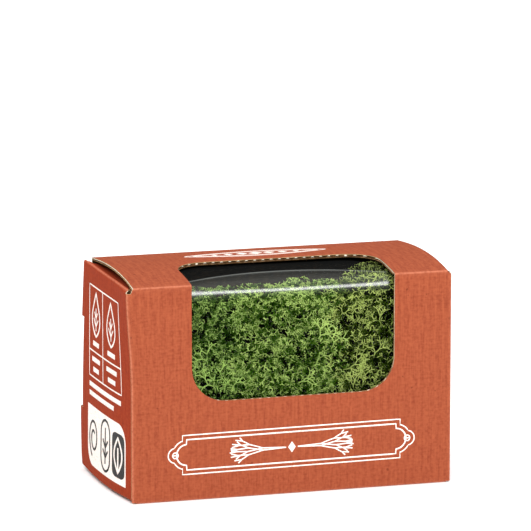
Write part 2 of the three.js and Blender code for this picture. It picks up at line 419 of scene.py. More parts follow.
@dataclass(frozen=True)
class FilmFinish:
    """Clear glossy film: its mirror sheen grows at a flat angle, and where bent it scatters light as a
    painted reflection haze.
    """

    name: str = "clear_film"
    roughness: float = 0.25
    clear: Colour = (0.97, 0.98, 0.98, 1)
    sheen: Colour = (0.03, 0.03, 0.03, 1)
    milk: Colour = (0.82, 0.86, 0.8, 1)
    ripple: Solid = (35, 40, 40)
    streak: Solid = (28, 900, 900)
    least_mirror: float = 0.04
    most_mirror: float = 0.6
    sharpness: float = 5.0
    most_milky: float = 0.0036

    def build(self) -> Material:
        """Builds the material.

        Returns:
            The material.
        """
        shader = Shader(self.name)
        place = shader.place
        normal = shader.bump(shader.grain(place, self.ripple, 0), 0.1, 0.6 * MM)
        clear = shader.node("ShaderNodeBsdfTransparent", {"Color": self.clear})
        inputs = {"Color": self.sheen, "Roughness": self.roughness, "Normal": normal}
        gloss = shader.node("ShaderNodeBsdfAnisotropic", inputs)
        facing = shader.node("ShaderNodeLayerWeight", {"Blend": 0.5}).outputs["Facing"]
        flat = shader.math("POWER", facing, self.sharpness)
        mirror = shader.plus(self.least_mirror, flat, self.most_mirror)
        glossy = shader.node("ShaderNodeMixShader", {0: mirror, 1: clear.outputs[0], 2: gloss.outputs[0]})
        # Milky diffuse scatter along the bend and score: a painted reflection haze, lit by the strip lamp.
        streaks = shader.plus(0.55, shader.grain(place, self.streak), 0.9)
        share = shader.times(shader.times(shader.attribute(PAINTED_HAZE), streaks), self.most_milky)
        milk = shader.node("ShaderNodeBsdfDiffuse", {"Color": self.milk})
        inputs = {0: share, 1: glossy.outputs[0], 2: milk.outputs[0]}
        return shader.surface(shader.node("ShaderNodeMixShader", inputs))


@dataclass(frozen=True)
class MossFinish:
    """Dried, dyed lichen, each sprig its own tone, with painted shade: near black deep in the mass and
    paler towards the film; paler towards the tips, partly its own colour and partly painted shade at the
    buried bases.
    """

    name: str
    deep: Colour
    middle: Colour
    tip: Colour
    patch: Solid = (70, 70, 70)
    fuzz: Solid = (1400, 1400, 1400)

    def build(self) -> Material:
        """Builds the material.

        Returns:
            The material.
        """
        shader = Shader(self.name)
        place = shader.place
        # The tip share: paler tips are partly the lichen's own colour, partly painted shade at the buried
        # bases.
        along = shader.times(shader.attribute(TIP), 0.45)
        own = shader.times(shader.attribute(SHADE), 0.25)
        lift = shader.math("SUBTRACT", shader.plus(own, shader.grain(place, self.patch, 3), 0.22), 0.3)
        # Nearness to the film, top and ends: painted shade that darkens the colour deeper in the mass.
        reach = shader.plus(shader.plus(along, shader.attribute(PAINTED_DEPTH_SHADE), 0.62), lift)
        # The deep colour is painted shade for the inside of the mass.
        colour = shader.mixed(shader.spread(reach, 0.12, 0.55), self.deep, self.middle)
        colour = shader.mixed(shader.spread(reach, 0.45, 0.84), colour, self.tip)
        normal = shader.bump(shader.grain(place, self.fuzz), 0.4, 0.1 * MM)
        return shader.coated(colour, 0.8, Normal=normal, IOR=1.0)


@dataclass(frozen=True)
class FloorFinish:
    """A plain pale studio floor."""

    name: str = "pale_floor"
    paint: Colour = (0.96, 0.96, 0.96, 1)

    def build(self) -> Material:
        """Builds the material."""
        return Shader(self.name).coated(self.paint, 0.9, Specular_IOR_Level=0.0)


class Finishes:
    """Every finish, built once."""

    def __init__(self) -> None:
        """Builds the materials."""
        self.printed = PrintedBoardFinish().build()
        # The same print made darker for the end panels: painted shade for the ends, which face away from
        # the light.
        end_shaded_copy = PrintedBoardFinish("printed_end_liner", srgb(163, 63, 34), srgb(138, 50, 28))
        self.printed_end = end_shaded_copy.build()
        # The inner liner is darker than plain kraft: painted shade for the carton's unlit inside.
        self.liner = KraftFinish("inner_liner", srgb(84, 62, 40), srgb(60, 44, 28)).build()
        self.edge = KraftFinish("cut_edge", srgb(210, 172, 128), srgb(166, 128, 88)).build()
        self.flute = FluteFinish("flute_paper", srgb(244, 234, 214), srgb(104, 76, 50)).build()
        self.white = InkFinish("white_ink", srgb(252, 244, 236), srgb(244, 214, 198)).build()
        self.black = InkFinish("black_ink", srgb(28, 25, 24), srgb(52, 46, 44)).build()
        self.film = FilmFinish().build()
        # Each moss finish runs from a near-black deep colour, painted shade, to its tip colour.
        fine = srgb(5, 11, 1), srgb(42, 79, 8), srgb(186, 220, 116)
        mixed = srgb(6, 12, 1), srgb(59, 99, 12), srgb(206, 234, 128)
        pale = srgb(6, 9, 1), srgb(58, 81, 11), srgb(202, 219, 120)
        self.fine_moss = MossFinish("fine_moss", *fine).build()
        self.mixed_moss = MossFinish("mixed_moss", *mixed).build()
        self.pale_moss = MossFinish("pale_moss", *pale).build()
        # The core's near-black colours are painted shade for the dense tangle inside each cushion.
        self.moss_core = MossFinish("moss_core", srgb(5, 8, 3), srgb(8, 13, 4), srgb(12, 20, 6)).build()
        self.floor = FloorFinish().build()


def mesh_of(
    name: str,
    points: Sequence[Vector],
    faces: Sequence[Face],
    *materials: Material,
    edges: Sequence[Face] = (),
) -> Mesh:
    """Makes a mesh.

    Args:
        name: Its name.
        points: Its points.
        faces: Its faces.
        *materials: Its materials.
        edges: Its edges, where it has no faces.

    Returns:
        The mesh.
    """
    mesh = bpy.data.meshes.new(name)
    mesh.from_pydata(points, edges, faces)
    for material in materials:
        mesh.materials.append(material)
    return mesh


def linked(name: str, data: ID) -> Object:
    """Makes an object and links it to the scene.

    Args:
        name: Its name.
        data: Its mesh, lamp or camera, which gets the same name.

    Returns:
        The object.
    """
    thing = bpy.data.objects.new(name, data)
    data.name = name
    bpy.context.scene.collection.objects.link(thing)
    return thing


def piece_of(name: str, mesh: Mesh, body: Body, slot: Slot, *replaced: str) -> Object:
    """Makes a mesh a piece of the object, at the origin.

    Args:
        name: The piece's name.
        mesh: Its mesh, in place.
        body: The body that it moves with.
        slot: The record's slot of its finish; not used.
        *replaced: The CAD nodes that it stands for.

    Returns:
        The piece.
    """
    piece = linked(name, mesh)
    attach(piece, body.value)
    if replaced:
        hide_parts(*replaced)
    LOG.info("%s: %d faces", name, len(mesh.polygons))
    return piece


@dataclass(frozen=True)
class Corner:
    """A corner of a section line, rounded by a radius, or a point that it passes where the radius is 0."""

    a: float
    b: float
    radius: float = 0.0

    @property
    def place(self) -> Vector:
        """The corner in the section's plane."""
        return Vector((self.a, self.b))


@dataclass(frozen=True)
class Station:
    """A sample of a section line: its place, the way outward and the distance along the line."""

    place: Vector
    outward: Vector
    along: float


class FoldPath:
    """The section line of a folded sheet's outer face, by its length. Outward is to its left."""

    BEND_STEPS = 6
    CRUSHED_ROWS = (-3.5 * MM, -2.2 * MM, 2.2 * MM, 3.5 * MM)

    def __init__(self, corners: Sequence[Corner]) -> None:
        """Rounds the corners and measures the line.

        Args:
            corners: The line's ends and corners in order.
        """
        points: list[Vector] = [corners[0].place]
        marks: list[int] = []
        for before, corner, after in zip(corners, corners[1:], corners[2:]):
            if corner.radius == 0:
                points.append(corner.place)
                continue
            arc = self._arc(before.place, corner, after.place)
            marks.append(len(points) + len(arc) // 2)
            points.extend(arc)
        points.append(corners[-1].place)
        edges = [q - p for p, q in zip(points, points[1:])]
        lefts = [Vector((-e.y, e.x)).normalized() for e in edges]
        along = 0.0
        self.stations: list[Station] = []
        for i, point in enumerate(points):
            outward = (lefts[max(i - 1, 0)] + lefts[min(i, len(lefts) - 1)]).normalized()
            self.stations.append(Station(point, outward, along))
            if i < len(edges):
                along += edges[i].length
        self.bends = [self.stations[i].along for i in marks]

    def _arc(self, before: Vector, corner: Corner, after: Vector) -> list[Vector]:
        """The points of a rounded corner.

        Args:
            before: The place that the line comes from.
            corner: The corner.
            after: The place that it goes to.

        Returns:
            The arc's points, from the first tangent point to the second.
        """
        coming = (corner.place - before).normalized()
        going = (after - corner.place).normalized()
        turn = coming.angle_signed(going)
        reach = corner.radius * math.tan(abs(turn) / 2)
        start = corner.place - coming * reach
        side = -math.copysign(1.0, turn)
        centre = start + Vector((-coming.y, coming.x)) * corner.radius * side
        spoke = start - centre
        steps = range(self.BEND_STEPS + 1)
        return [centre + Matrix.Rotation(-turn * k / self.BEND_STEPS, 2) @ spoke for k in steps]

    @property
    def length(self) -> float:
        """The line's whole length."""
        return self.stations[-1].along

    def marks(self, bends: Sequence[float]) -> list[float]:
        """Where a blank needs rows: at every station, and on both sides of the given bends."""
        beside = [bend + step for bend in bends for step in self.CRUSHED_ROWS]
        return [station.along for station in self.stations] + beside

    def at(self, along: float) -> tuple[Vector, Vector]:
        """The place and the outward direction at a distance along the line.

        Args:
            along: The distance.

        Returns:
            The two vectors in the section's plane.
        """
        for low, high in zip(self.stations, self.stations[1:]):
            if along <= high.along or high is self.stations[-1]:
                share = (along - low.along) / max(high.along - low.along, 1e-9)
                return low.place.lerp(high.place, share), low.outward.lerp(high.outward, share).normalized()
        raise ValueError("the line has no stretch")

    def nearest(self, a: float, b: float) -> float:
        """The distance along the line of its point nearest to a place.

        Args:
            a: The place's first coordinate.
            b: Its second.

        Returns:
            The distance along the line.
        """
        best = (math.inf, 0.0)
        target = Vector((a, b))
        for low, high in zip(self.stations, self.stations[1:]):
            edge = high.place - low.place
            share = min(max((target - low.place).dot(edge) / edge.length_squared, 0), 1)
            gap = (low.place + edge * share - target).length
            best = min(best, (gap, low.along + share * edge.length))
        return best[1]

    def near_bend(self, along: float, width: float) -> float:
        """How near a distance along the line is to a bend, from 0 to 1."""
        return max((math.exp(-(((along - bend) / width) ** 2)) for bend in self.bends), default=0.0)


@dataclass(frozen=True)
class Row:
    """A line across a blank, from its low to its high edge."""

    along: float
    low: float
    high: float


@dataclass(frozen=True)
class Block:
    """Rows of a blank that run together, each cut into as many columns."""

    rows: tuple[Row, ...]
    columns: int


class GeometryTree(NodeMaker):
    """A Geometry Nodes tree with named inputs, built one node at a time."""

    def __init__(self, name: str) -> None:
        """Starts a tree with a geometry input and a geometry output.

        Args:
            name: The tree's name.
        """
        super().__init__(bpy.data.node_groups.new(name, "GeometryNodeTree"))
        self.tree.is_modifier = True
        self.entry = self.tree.nodes.new("NodeGroupInput")
        self.exit = self.tree.nodes.new("NodeGroupOutput")
        self.tree.interface.new_socket("Geometry", in_out="OUTPUT", socket_type="NodeSocketGeometry")
        self.geometry = self.add_input("Geometry", "NodeSocketGeometry")

    def add_input(self, name: str, kind: str) -> NodeSocket:
        """Adds a named input and returns its socket inside the tree."""
        self.tree.interface.new_socket(name, in_out="INPUT", socket_type=kind)
        return self.entry.outputs[name]

    def named(self, name: str, kind: str) -> NodeSocket:
        """The value of a mesh attribute."""
        node = self.node("GeometryNodeInputNamedAttribute", {"Name": name}, data_type=kind)
        return next(s for s in node.outputs if s.enabled and s.name == "Attribute")

    def chance(self, kind: str, low: object, high: object, seed: object) -> NodeSocket:
        """A seeded random value for each element.

        Args:
            kind: The value's data type.
            low: Its least value.
            high: Its greatest value.
            seed: The seed, a number or a socket.

        Returns:
            The value's socket.
        """
        node = self.node("FunctionNodeRandomValue", data_type=kind)
        for name, value in (("Min", low), ("Max", high), ("Seed", seed)):
            self.feed(next(s for s in node.inputs if s.enabled and s.name == name), value)
        return next(s for s in node.outputs if s.enabled)

    def moved(self, points: NodeSocket, way: NodeSocket, far: NodeSocket) -> NodeSocket:
        """Points moved along a direction.

        Args:
            points: The geometry.
            way: The direction.
            far: How far.

        Returns:
            The moved geometry.
        """
        offset = self.node("ShaderNodeVectorMath", {0: way, "Scale": far}, operation="SCALE")
        inputs = {"Geometry": points, "Offset": offset.outputs[0]}
        return self.node("GeometryNodeSetPosition", inputs).outputs[0]

    def finish(self, geometry: NodeSocket, material: NodeSocket) -> None:
        """Makes the instances real, sets the material and links the output.

        Args:
            geometry: The geometry, with its instances.
            material: The material.
        """
        real = self.node("GeometryNodeRealizeInstances", {"Geometry": geometry})
        done = self.node("GeometryNodeSetMaterial", {"Geometry": real.outputs[0], "Material": material})
        self.tree.links.new(done.outputs[0], self.exit.inputs[0])

    def applied(self, source: Mesh, values: dict[str, object]) -> Mesh:
        """Runs the tree on a mesh.

        Args:
            source: The mesh to start from.
            values: A value for each named input.

        Returns:
            The plain mesh that comes out.
        """
        carrier = linked("carrier", source)
        modifier = carrier.modifiers.new(self.tree.name, "NODES")
        modifier.node_group = self.tree
        for item in self.tree.interface.items_tree:
            if item.item_type == "SOCKET" and item.in_out == "INPUT" and item.name in values:
                modifier[item.identifier] = values[item.name]
        graph = bpy.context.evaluated_depsgraph_get()
        result = bpy.data.meshes.new_from_object(
            carrier.evaluated_get(graph), preserve_all_data_layers=True, depsgraph=graph
        )
        carrier.modifiers.remove(modifier)
        bpy.data.objects.remove(carrier)
        return result


class FlutingTree(GeometryTree):
    """Presses a sheet into a wave: each point moves out and in with its distance across the sheet."""

    def __init__(self) -> None:
        """Builds the tree."""
        super().__init__("fluting")
        pitch = self.add_input("Pitch", "NodeSocketFloat")
        swing = self.add_input("Swing", "NodeSocketFloat")
        paper = self.add_input("Paper", "NodeSocketMaterial")
        turns = self.math("DIVIDE", self.named(ACROSS, "FLOAT"), pitch)
        wave = self.math("SINE", self.times(turns, math.tau))
        outward = self.named(OUTWARD, "FLOAT_VECTOR")
        self.finish(self.moved(self.geometry, outward, self.times(wave, swing)), paper)


class LineTree(GeometryTree):
    """Draws flat lines along edges: a thin bar that lies on the surface the edges were taken from."""

    def __init__(self) -> None:
        """Builds the tree."""
        super().__init__("printed_line")
        width = self.add_input("Width", "NodeSocketFloat")
        thickness = self.add_input("Thickness", "NodeSocketFloat")
        ink = self.add_input("Ink", "NodeSocketMaterial")
        curve = self.node("GeometryNodeMeshToCurve", {"Mesh": self.geometry})
        inputs = {"Curve": curve.outputs[0], "Normal": self.named(OUTWARD, "FLOAT_VECTOR")}
        turned = self.node("GeometryNodeSetCurveNormal", inputs, mode="FREE")
        bar = self.node("GeometryNodeCurvePrimitiveQuadrilateral", {"Width": thickness, "Height": width})
        inputs = {"Curve": turned.outputs[0], "Profile Curve": bar.outputs[0], "Fill Caps": True}
        self.finish(self.node("GeometryNodeCurveToMesh", inputs).outputs[0], ink)


Placing = Callable[[Vector, float], Vector]


class FoldedSheet:
    """A blank of board folded along a path, from which each layer is made. Its bends are crushed thin."""

    CRUSH = 0.45
    CRUSH_WIDTH = 2.0 * MM
    WEAR_WIDTH = 0.42 * MM
    SHARP = math.radians(40)
    ONE_POINT = 0.01 * MM

    def __init__(self, path: FoldPath, blocks: Sequence[Block], place: Placing) -> None:
        """Keeps the blank and the way it is folded.

        Args:
            path: The section line of the outer face.
            blocks: The blank's outline in rows.
            place: Where a point of the section plane lies at a distance across the sheet.
        """
        self.path = path
        self.blocks = blocks
        self.place = place

    def point(self, along: float, across: float, depth: float = 0.0) -> Vector:
        """A point of the folded sheet."""
        place, outward = self.path.at(along)
        return self.place(place - outward * depth * self.crushed(along), across)

    def crushed(self, along: float) -> float:
        """How much of its thickness the board keeps at a distance along the path."""
        return 1 - self.CRUSH * self.path.near_bend(along, self.CRUSH_WIDTH)

    def outward(self, along: float, across: float) -> Vector:
        """The direction out of the outer face at a point of the folded sheet."""
        step = 0.1 * MM
        return (self.point(along, across, -step) - self.point(along, across, step)).normalized()

    def layer(self, top: float, bottom: float, materials: Sequence[Material], finer: int = 1) -> Mesh:
        """Makes one closed layer of the board.

        Args:
            top: The depth of its outer face.
            bottom: The depth of its inner face.
            materials: The outer face's material, and that of the rest.
            finer: How many times more columns each block gets.

        Returns:
            The layer's mesh, in place.
        """
        places: dict[tuple[int, int], int] = {}
        spots: list[Flat] = []
        faces: list[Face] = []

        def spot(row: Row, share: float) -> int:
            """The number of a point on a row, made once.

            Args:
                row: The row.
                share: How far along the row the point lies, 0 to 1.

            Returns:
                The point's number.
            """
            across = row.low + (row.high - row.low) * share
            key = (round(row.along / self.ONE_POINT), round(across / self.ONE_POINT))
            if key not in places:
                places[key] = len(spots)
                spots.append((row.along, across))
            return places[key]

        for block in self.blocks:
            count = block.columns * finer
            for low, high in zip(block.rows, block.rows[1:]):
                for k in range(count):
                    a, b = k / count, (k + 1) / count
                    face = (spot(low, a), spot(low, b), spot(high, b), spot(high, a))
                    if len(set(face)) > 2:
                        faces.append(tuple(dict.fromkeys(face)))
        return self._closed(spots, faces, (top, bottom), materials)

    def _closed(
        self, spots: list[Flat], faces: list[Face], depths: Flat, materials: Sequence[Material]
    ) -> Mesh:
        """Closes a flat net of faces into a layer with two sides and a rim.

        Args:
            spots: The net's points as distances along and across.
            faces: The net's faces.
            depths: The depths of the outer and the inner side.
            materials: The outer face's material, and that of the rest.

        Returns:
            The layer's mesh.
        """
        count = len(spots)
        points = [self.point(s, u, depth) for depth in depths for s, u in spots]
        sides = {(a, b) for face in faces for a, b in zip(face, face[1:] + face[:1])}
        rims = [(a, b) for a, b in sorted(sides) if (b, a) not in sides]
        back = [tuple(i + count for i in reversed(face)) for face in faces]
        rim = [(b, a, a + count, b + count) for a, b in rims]
        mesh = mesh_of("layer", points, faces + back + rim, *materials)
        for number, polygon in enumerate(mesh.polygons):
            polygon.material_index = 0 if number < len(faces) else len(materials) - 1
        sheet = mesh.uv_layers.new(name=SHEET_UV)
        for loop, uv in zip(mesh.loops, sheet.data):
            along, across = spots[loop.vertex_index % count]
            uv.uv = (across, along)
        both = spots + spots
        ways = [self.outward(s, u) * self.crushed(s) for s, u in both]
        # Nearness to a bend, which drives the paler crease tint: partly cracked print, partly painted
        # highlight.
        set_attribute(mesh, CREASE, "FLOAT", [self.path.near_bend(s, self.WEAR_WIDTH) for s, _ in both])
        set_attribute(mesh, ACROSS, "FLOAT", [u for _, u in both])
        set_attribute(mesh, OUTWARD, "FLOAT_VECTOR", ways)
        turned_out(mesh)
        smooth(mesh, self.SHARP)
        return mesh


def set_attribute(mesh: Mesh, name: str, kind: str, values: Sequence[object]) -> None:
    """Stores a value for each vertex.

    Args:
        mesh: The mesh.
        name: The attribute's name.
        kind: Its data type.
        values: A number or a vector for each vertex.
    """
    attribute = mesh.attributes.new(name, kind, "POINT")
    word = "vector" if kind == "FLOAT_VECTOR" else "value"
    attribute.data.foreach_set(word, np.array(values, dtype=np.float32).ravel())


def turned_out(mesh: Mesh) -> None:
    """Turns a closed mesh's faces outwards.

    Args:
        mesh: The mesh, which is changed.
    """
    shape = bmesh.new()
    shape.from_mesh(mesh)
    bmesh.ops.recalc_face_normals(shape, faces=shape.faces)
    shape.to_mesh(mesh)
    shape.free()


def smooth(mesh: Mesh, angle: float) -> None:
    """Shades a mesh smoothly, except over edges sharper than an angle."""
    mesh.shade_smooth()
    mesh.set_sharp_from_angle(angle=angle)


def spaced(low: float, high: float, step: float) -> list[float]:
    """Even places from low to high, no further apart than a step, both ends with them."""
    count = max(1, math.ceil((high - low) / step))
    return [low + (high - low) * k / count for k in range(count + 1)]


def merged(values: Sequence[float], apart: float = 0.05 * MM) -> list[float]:
    """Sorts values and drops those that lie close to the one before.

    Args:
        values: The values.
        apart: How far apart those that stay are at the least.

    Returns:
        The values that stay.
    """
    kept: list[float] = []
    for value in sorted(values):
        if not kept or value - kept[-1] > apart:
            kept.append(value)
    return kept


@dataclass
class BoardPiece:
    """What every folded board piece has: layers, a body and a name."""

    SHARP: ClassVar[float] = math.radians(60)
    WAVE_FINER: ClassVar[int] = 8

    finishes: Finishes
    fluting: FlutingTree

    @property
    def print_finish(self) -> Material:
        """The finish of the printed face."""
        return self.finishes.printed

    def dress(self, name: str, sheet: FoldedSheet, body: Body, *replaced: str) -> None:
        """Makes a board's three layers.

        Args:
            name: What the layers' names start with.
            sheet: The folded blank.
            body: The body that the layers move with.
            *replaced: The CAD nodes that the outer liner stands for.
        """
        paper = self.finishes
        outer = sheet.layer(0, BOARD.liner, (self.print_finish, paper.edge))
        piece_of(f"{name}_outer_liner", outer, body, Slot.BOARD, *replaced)
        low = BOARD.wave_depth - BOARD.wave / 2
        flat = sheet.layer(low, low + BOARD.wave, (paper.flute,), self.WAVE_FINER)
        values = {"Pitch": BOARD.pitch, "Swing": BOARD.swing, "Paper": paper.flute}
        wave = self.fluting.applied(flat, values)
        smooth(wave, self.SHARP)
        piece_of(f"{name}_wave", wave, body, Slot.BOARD)
        inner = sheet.layer(BOARD.thickness - BOARD.liner, BOARD.thickness, (paper.edge, paper.liner))
        piece_of(f"{name}_inner_liner", inner, body, Slot.BOARD)


@dataclass
class Carton:
    """The carton's driving sizes, shared by its parts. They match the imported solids."""

    depth: float = 65 * MM
    height: float = 85.5 * MM
    panel_width: float = 127.4 * MM
    crease_x: float = 65.4 * MM
    dome: float = 2.4 * MM
    dome_lean: float = 0.2
    bend: float = 0.9 * MM
    strip_low: float = 0.5 * MM
    strip_high: float = 83.4 * MM
    lean_low: float = 0.8 * MM
    lean_high: float = -1.1 * MM
    lean_width: float = 12 * MM
    lean_from: float = 46 * MM
    lean_to: float = 84 * MM
    still_above: float = 85.4 * MM
    still_within: float = 1.5 * MM

    @property
    def front(self) -> float:
        """The front face's Y."""
        return -self.depth / 2

    def top_height(self, y: float) -> float:
        """The top panel's outer height at a distance from the middle."""
        t = y / (self.depth / 2)
        return self.height + self.dome * (1 - t * t) * (1 - self.dome_lean * t)

    def settled(self, p: Vector) -> Vector:
        """Where a point of the board really lies: the left crease leans, out at its top and in below.

        Args:
            p: The point on the true shape.

        Returns:
            The moved point.
        """
        apart = math.hypot(p.x + self.crease_x, p.y - self.front) / self.lean_width
        near = math.exp(-(apart**2)) * clamped((self.still_above - p.z) / self.still_within)
        high = clamped((p.z - self.lean_from) / (self.lean_to - self.lean_from))
        lean = self.lean_low + (self.lean_high - self.lean_low) * high * high * (3 - 2 * high)
        return Vector((p.x + near * lean, p.y, p.z))


CARTON = Carton()


@dataclass
class Sleeve(BoardPiece):
    """The sleeve: glue tab, bottom, front, top and back of one sheet, with the window cut in it."""

    window_half: float = 41.2 * MM
    window_shift: float = 0.75 * MM
    sill: float = 39 * MM
    window_back: float = -0.9 * MM
    corner: float = 13.5 * MM
    tab: float = 13.9 * MM
    back_foot: float = 0.3 * MM
    arc_steps: int = 10
    row: float = 7 * MM
    side_columns: int = 9
    middle_columns: int = 16

    def __post_init__(self) -> None:
        """Folds the blank."""
        inner = CARTON.depth / 2 - BOARD.thickness
        back = CARTON.depth / 2
        high = CARTON.height
        bend = CARTON.bend
        crown = [Corner(y, CARTON.top_height(y)) for y in (back * (k / 12) for k in range(-11, 12))]
        lower = [Corner(inner, self.tab), Corner(inner, 0, bend), Corner(-back, 0, bend)]
        upper = [Corner(back, high, bend), Corner(back, self.back_foot)]
        self.path = FoldPath([*lower, Corner(-back, high, bend), *crown, *upper])
        self.sill_at = self.path.nearest(-back, self.sill)
        self.back_at = self.path.nearest(self.window_back, CARTON.top_height(self.window_back))
        self.sheet = FoldedSheet(self.path, self.blocks(), self.place)

    def place(self, section: Vector, across: float) -> Vector:
        """Where a point of the section lies at a distance along X."""
        return CARTON.settled(Vector((across, section.x, section.y)))

    def window_edge(self, along: float) -> float:
        """The window's half width at a distance along the sleeve, or its straight part's beyond it.

        Args:
            along: The distance.

        Returns:
            The half width.
        """
        inside = min(along - self.sill_at, self.back_at - along)
        straight = self.window_half - self.corner
        rise = self.corner - min(max(inside, 0), self.corner)
        return straight + math.sqrt(self.corner**2 - rise**2)

    def blocks(self) -> list[Block]:
        """The blank's outline in rows.

        Returns:
            A block on each side of the window, and one under and one behind it.
        """
        path, row, sill, back = self.path, self.row, self.sill_at, self.back_at
        marks = path.marks(path.bends) + [sill, back]
        for k in range(self.arc_steps + 1):
            reach = self.corner * (1 - math.cos(k / self.arc_steps * math.pi / 2))
            marks += [sill + reach, back - reach]
        marks += spaced(sill - 36 * MM, sill, row)
        marks += spaced(sill + self.corner, path.bends[2] + path.CRUSHED_ROWS[0], row)
        alongs = merged([m for m in marks if 0 <= m <= path.length])
        half = CARTON.panel_width / 2
        straight = self.window_half - self.corner
        off = self.window_shift
        edges = [[(side * half, off + side * self.window_edge(s)) for s in alongs] for side in (-1, 1)]
        sides = [tuple(Row(s, *sorted(edge)) for s, edge in zip(alongs, pairs)) for pairs in edges]
        middle = [Row(s, off - straight, off + straight) for s in alongs]
        under = tuple(row for row in middle if row.along <= sill + 1e-9)
        behind = tuple(row for row in middle if row.along >= back - 1e-9)
        blocks = [Block(rows, self.side_columns) for rows in sides]
        return blocks + [Block(rows, self.middle_columns) for rows in (under, behind)]

    def build(self) -> None:
        """Makes the sleeve's layers."""
        self.dress("sleeve", self.sheet, Body.CARTON, "carton_sleeve")


@dataclass
class EndFlap(BoardPiece):
    """An end flap: the end panel with its top and bottom flanges folded in, and its back flange."""

    side: Side
    splay: float = math.radians(2.2)
    length: float = 65 * MM
    low: float = 0.6 * MM
    high: float = 85.6 * MM
    near: float = 2.8 * MM
    far: float = 60.7 * MM
    taper: float = 3.5 * MM
    reach: float = 15 * MM
    shoulder: float = 2.2 * MM
    top_shoulder: float = 0.8 * MM
    fold: float = 62.9 * MM
    fold_low: float = 25.5 * MM
    fold_high: float = 62.2 * MM
    tuck_reach: float = 16 * MM
    tuck_taper: float = 4.5 * MM
    tuck_tilt: float = math.radians(8)
    belly: float = 1.7 * MM
    top_belly: float = 0.25
    twist: float = 1.8 * MM
    twist_reach: float = 0.74
    tuck_in: float = 0.99 * MM
    seat: float = 0.3 * MM
    step: float = 3 * MM
    bend: float = 1.0 * MM
    fold_room: float = 1.8 * MM
    nick: float = 0.02 * MM
    columns: int = 14
    tuck_columns: int = 8

    def __post_init__(self) -> None:
        """Folds the two blanks."""
        seat = BOARD.thickness + self.seat
        lower = [Corner(self.reach, seat), Corner(self.step, seat), Corner(0, self.low, self.bend)]
        seat = CARTON.height - seat
        upper = [Corner(0, self.high, self.bend), Corner(self.step, seat), Corner(self.reach, seat)]
        self.path = FoldPath(lower + upper)
        self.sheet = FoldedSheet(self.path, self.blocks(), self.place)
        inward = Vector((math.cos(self.tuck_tilt), -math.sin(self.tuck_tilt)))
        start, corner = Vector((0, self.fold - self.fold_room)), Vector((0, self.fold))
        end = corner + inward * self.tuck_reach
        self.tuck_path = FoldPath([Corner(*start), Corner(*corner, self.bend), Corner(*end)])
        self.tuck = FoldedSheet(self.tuck_path, [self.tuck_block()], self.tuck_place)

    @property
    def print_finish(self) -> Material:
        """A darker copy of the print for the end panels: painted shade, as the ends face away from the
        light.
        """
        return self.finishes.printed_end

    def place(self, section: Vector, across: float) -> Vector:
        """Where a point of the flap's section lies at a distance along the end panel."""
        return self.in_carton(Vector((section.x, across, section.y)))

    def tuck_place(self, section: Vector, across: float) -> Vector:
        """Where a point of the back flange's section lies at a height."""
        return self.in_carton(Vector((section.x, section.y, across)))

    def in_carton(self, p: Vector) -> Vector:
        """Turns a point of the flap's own frame into the row's: warped, splayed and hung at its crease.

        Args:
            p: The point.

        Returns:
            The point in the row's frame.
        """
        far = clamped(p.y / self.length)
        lower = 1 - clamped(p.z / self.high)
        turn = (self.twist * math.sin(lower / self.twist_reach * math.pi / 2) - self.tuck_in) * far
        share = self.top_belly + (1 - self.top_belly) * lower * lower
        p = p - Vector((self.belly * math.sin(math.pi * far) * share + turn, 0, 0))
        hung = Matrix.Rotation(self.splay, 3, "Z") @ p + Vector((-CARTON.crease_x, CARTON.front, 0))
        if self.side is Side.LEFT:
            return CARTON.settled(hung)
        return Vector((-hung.x, hung.y, hung.z))

    def limits(self, along: float) -> Flat:
        """The flap's near and far edges at a distance along its path.

        Args:
            along: The distance.

        Returns:
            The two edges, as distances from the crease.
        """
        place, _ = self.path.at(along)
        if place.x > 0.6 * self.bend:
            narrow = self.taper * (place.x - self.bend) / (self.reach - self.bend)
            return self.near + max(narrow, 0), self.far - max(narrow, 0)
        high = place.y
        if self.fold_low < high < self.fold_high:
            return self.bend, self.fold - self.fold_room
        cut = max(self.shoulder - (high - self.low), self.top_shoulder - (self.high - high), 0)
        return self.bend, self.length - cut

    def blocks(self) -> list[Block]:
        """The flap's outline in rows, with two rows where it steps.

        Returns:
            One block.
        """
        path, row = self.path, 6 * MM
        marks = path.marks(path.bends[1:3])
        steps = [(0, self.fold_low), (0, self.fold_high)]
        steps += [(0.6 * self.bend, self.low), (0.6 * self.bend, self.high)]
        for step in steps:
            at = path.nearest(*step)
            marks += [at - self.nick, at + self.nick]
        marks += spaced(path.nearest(0, self.low + row), path.nearest(0, self.high - row), row)
        alongs = merged([m for m in marks if 0 <= m <= path.length], self.nick / 2)
        return [Block(tuple(Row(s, *self.limits(s)) for s in alongs), self.columns)]

    def tuck_block(self) -> Block:
        """The back flange's outline in rows.

        Returns:
            The block.
        """
        path = self.tuck_path
        start = path.stations[-2].along
        rows = []
        for s in merged(path.marks(()) + spaced(start, path.length, 4 * MM)):
            narrow = self.seat + self.tuck_taper * max(s - start, 0) / (path.length - start)
            rows.append(Row(s, self.fold_low + narrow, self.fold_high - narrow))
        return Block(tuple(rows), self.tuck_columns)

    def build(self) -> None:
        """Makes the flap's layers."""
        body, word = self.side.body, self.side.word
        self.dress(f"{word}_end", self.sheet, body, f"end_flap_{word}")
        self.dress(f"{word}_tuck", self.tuck, body)


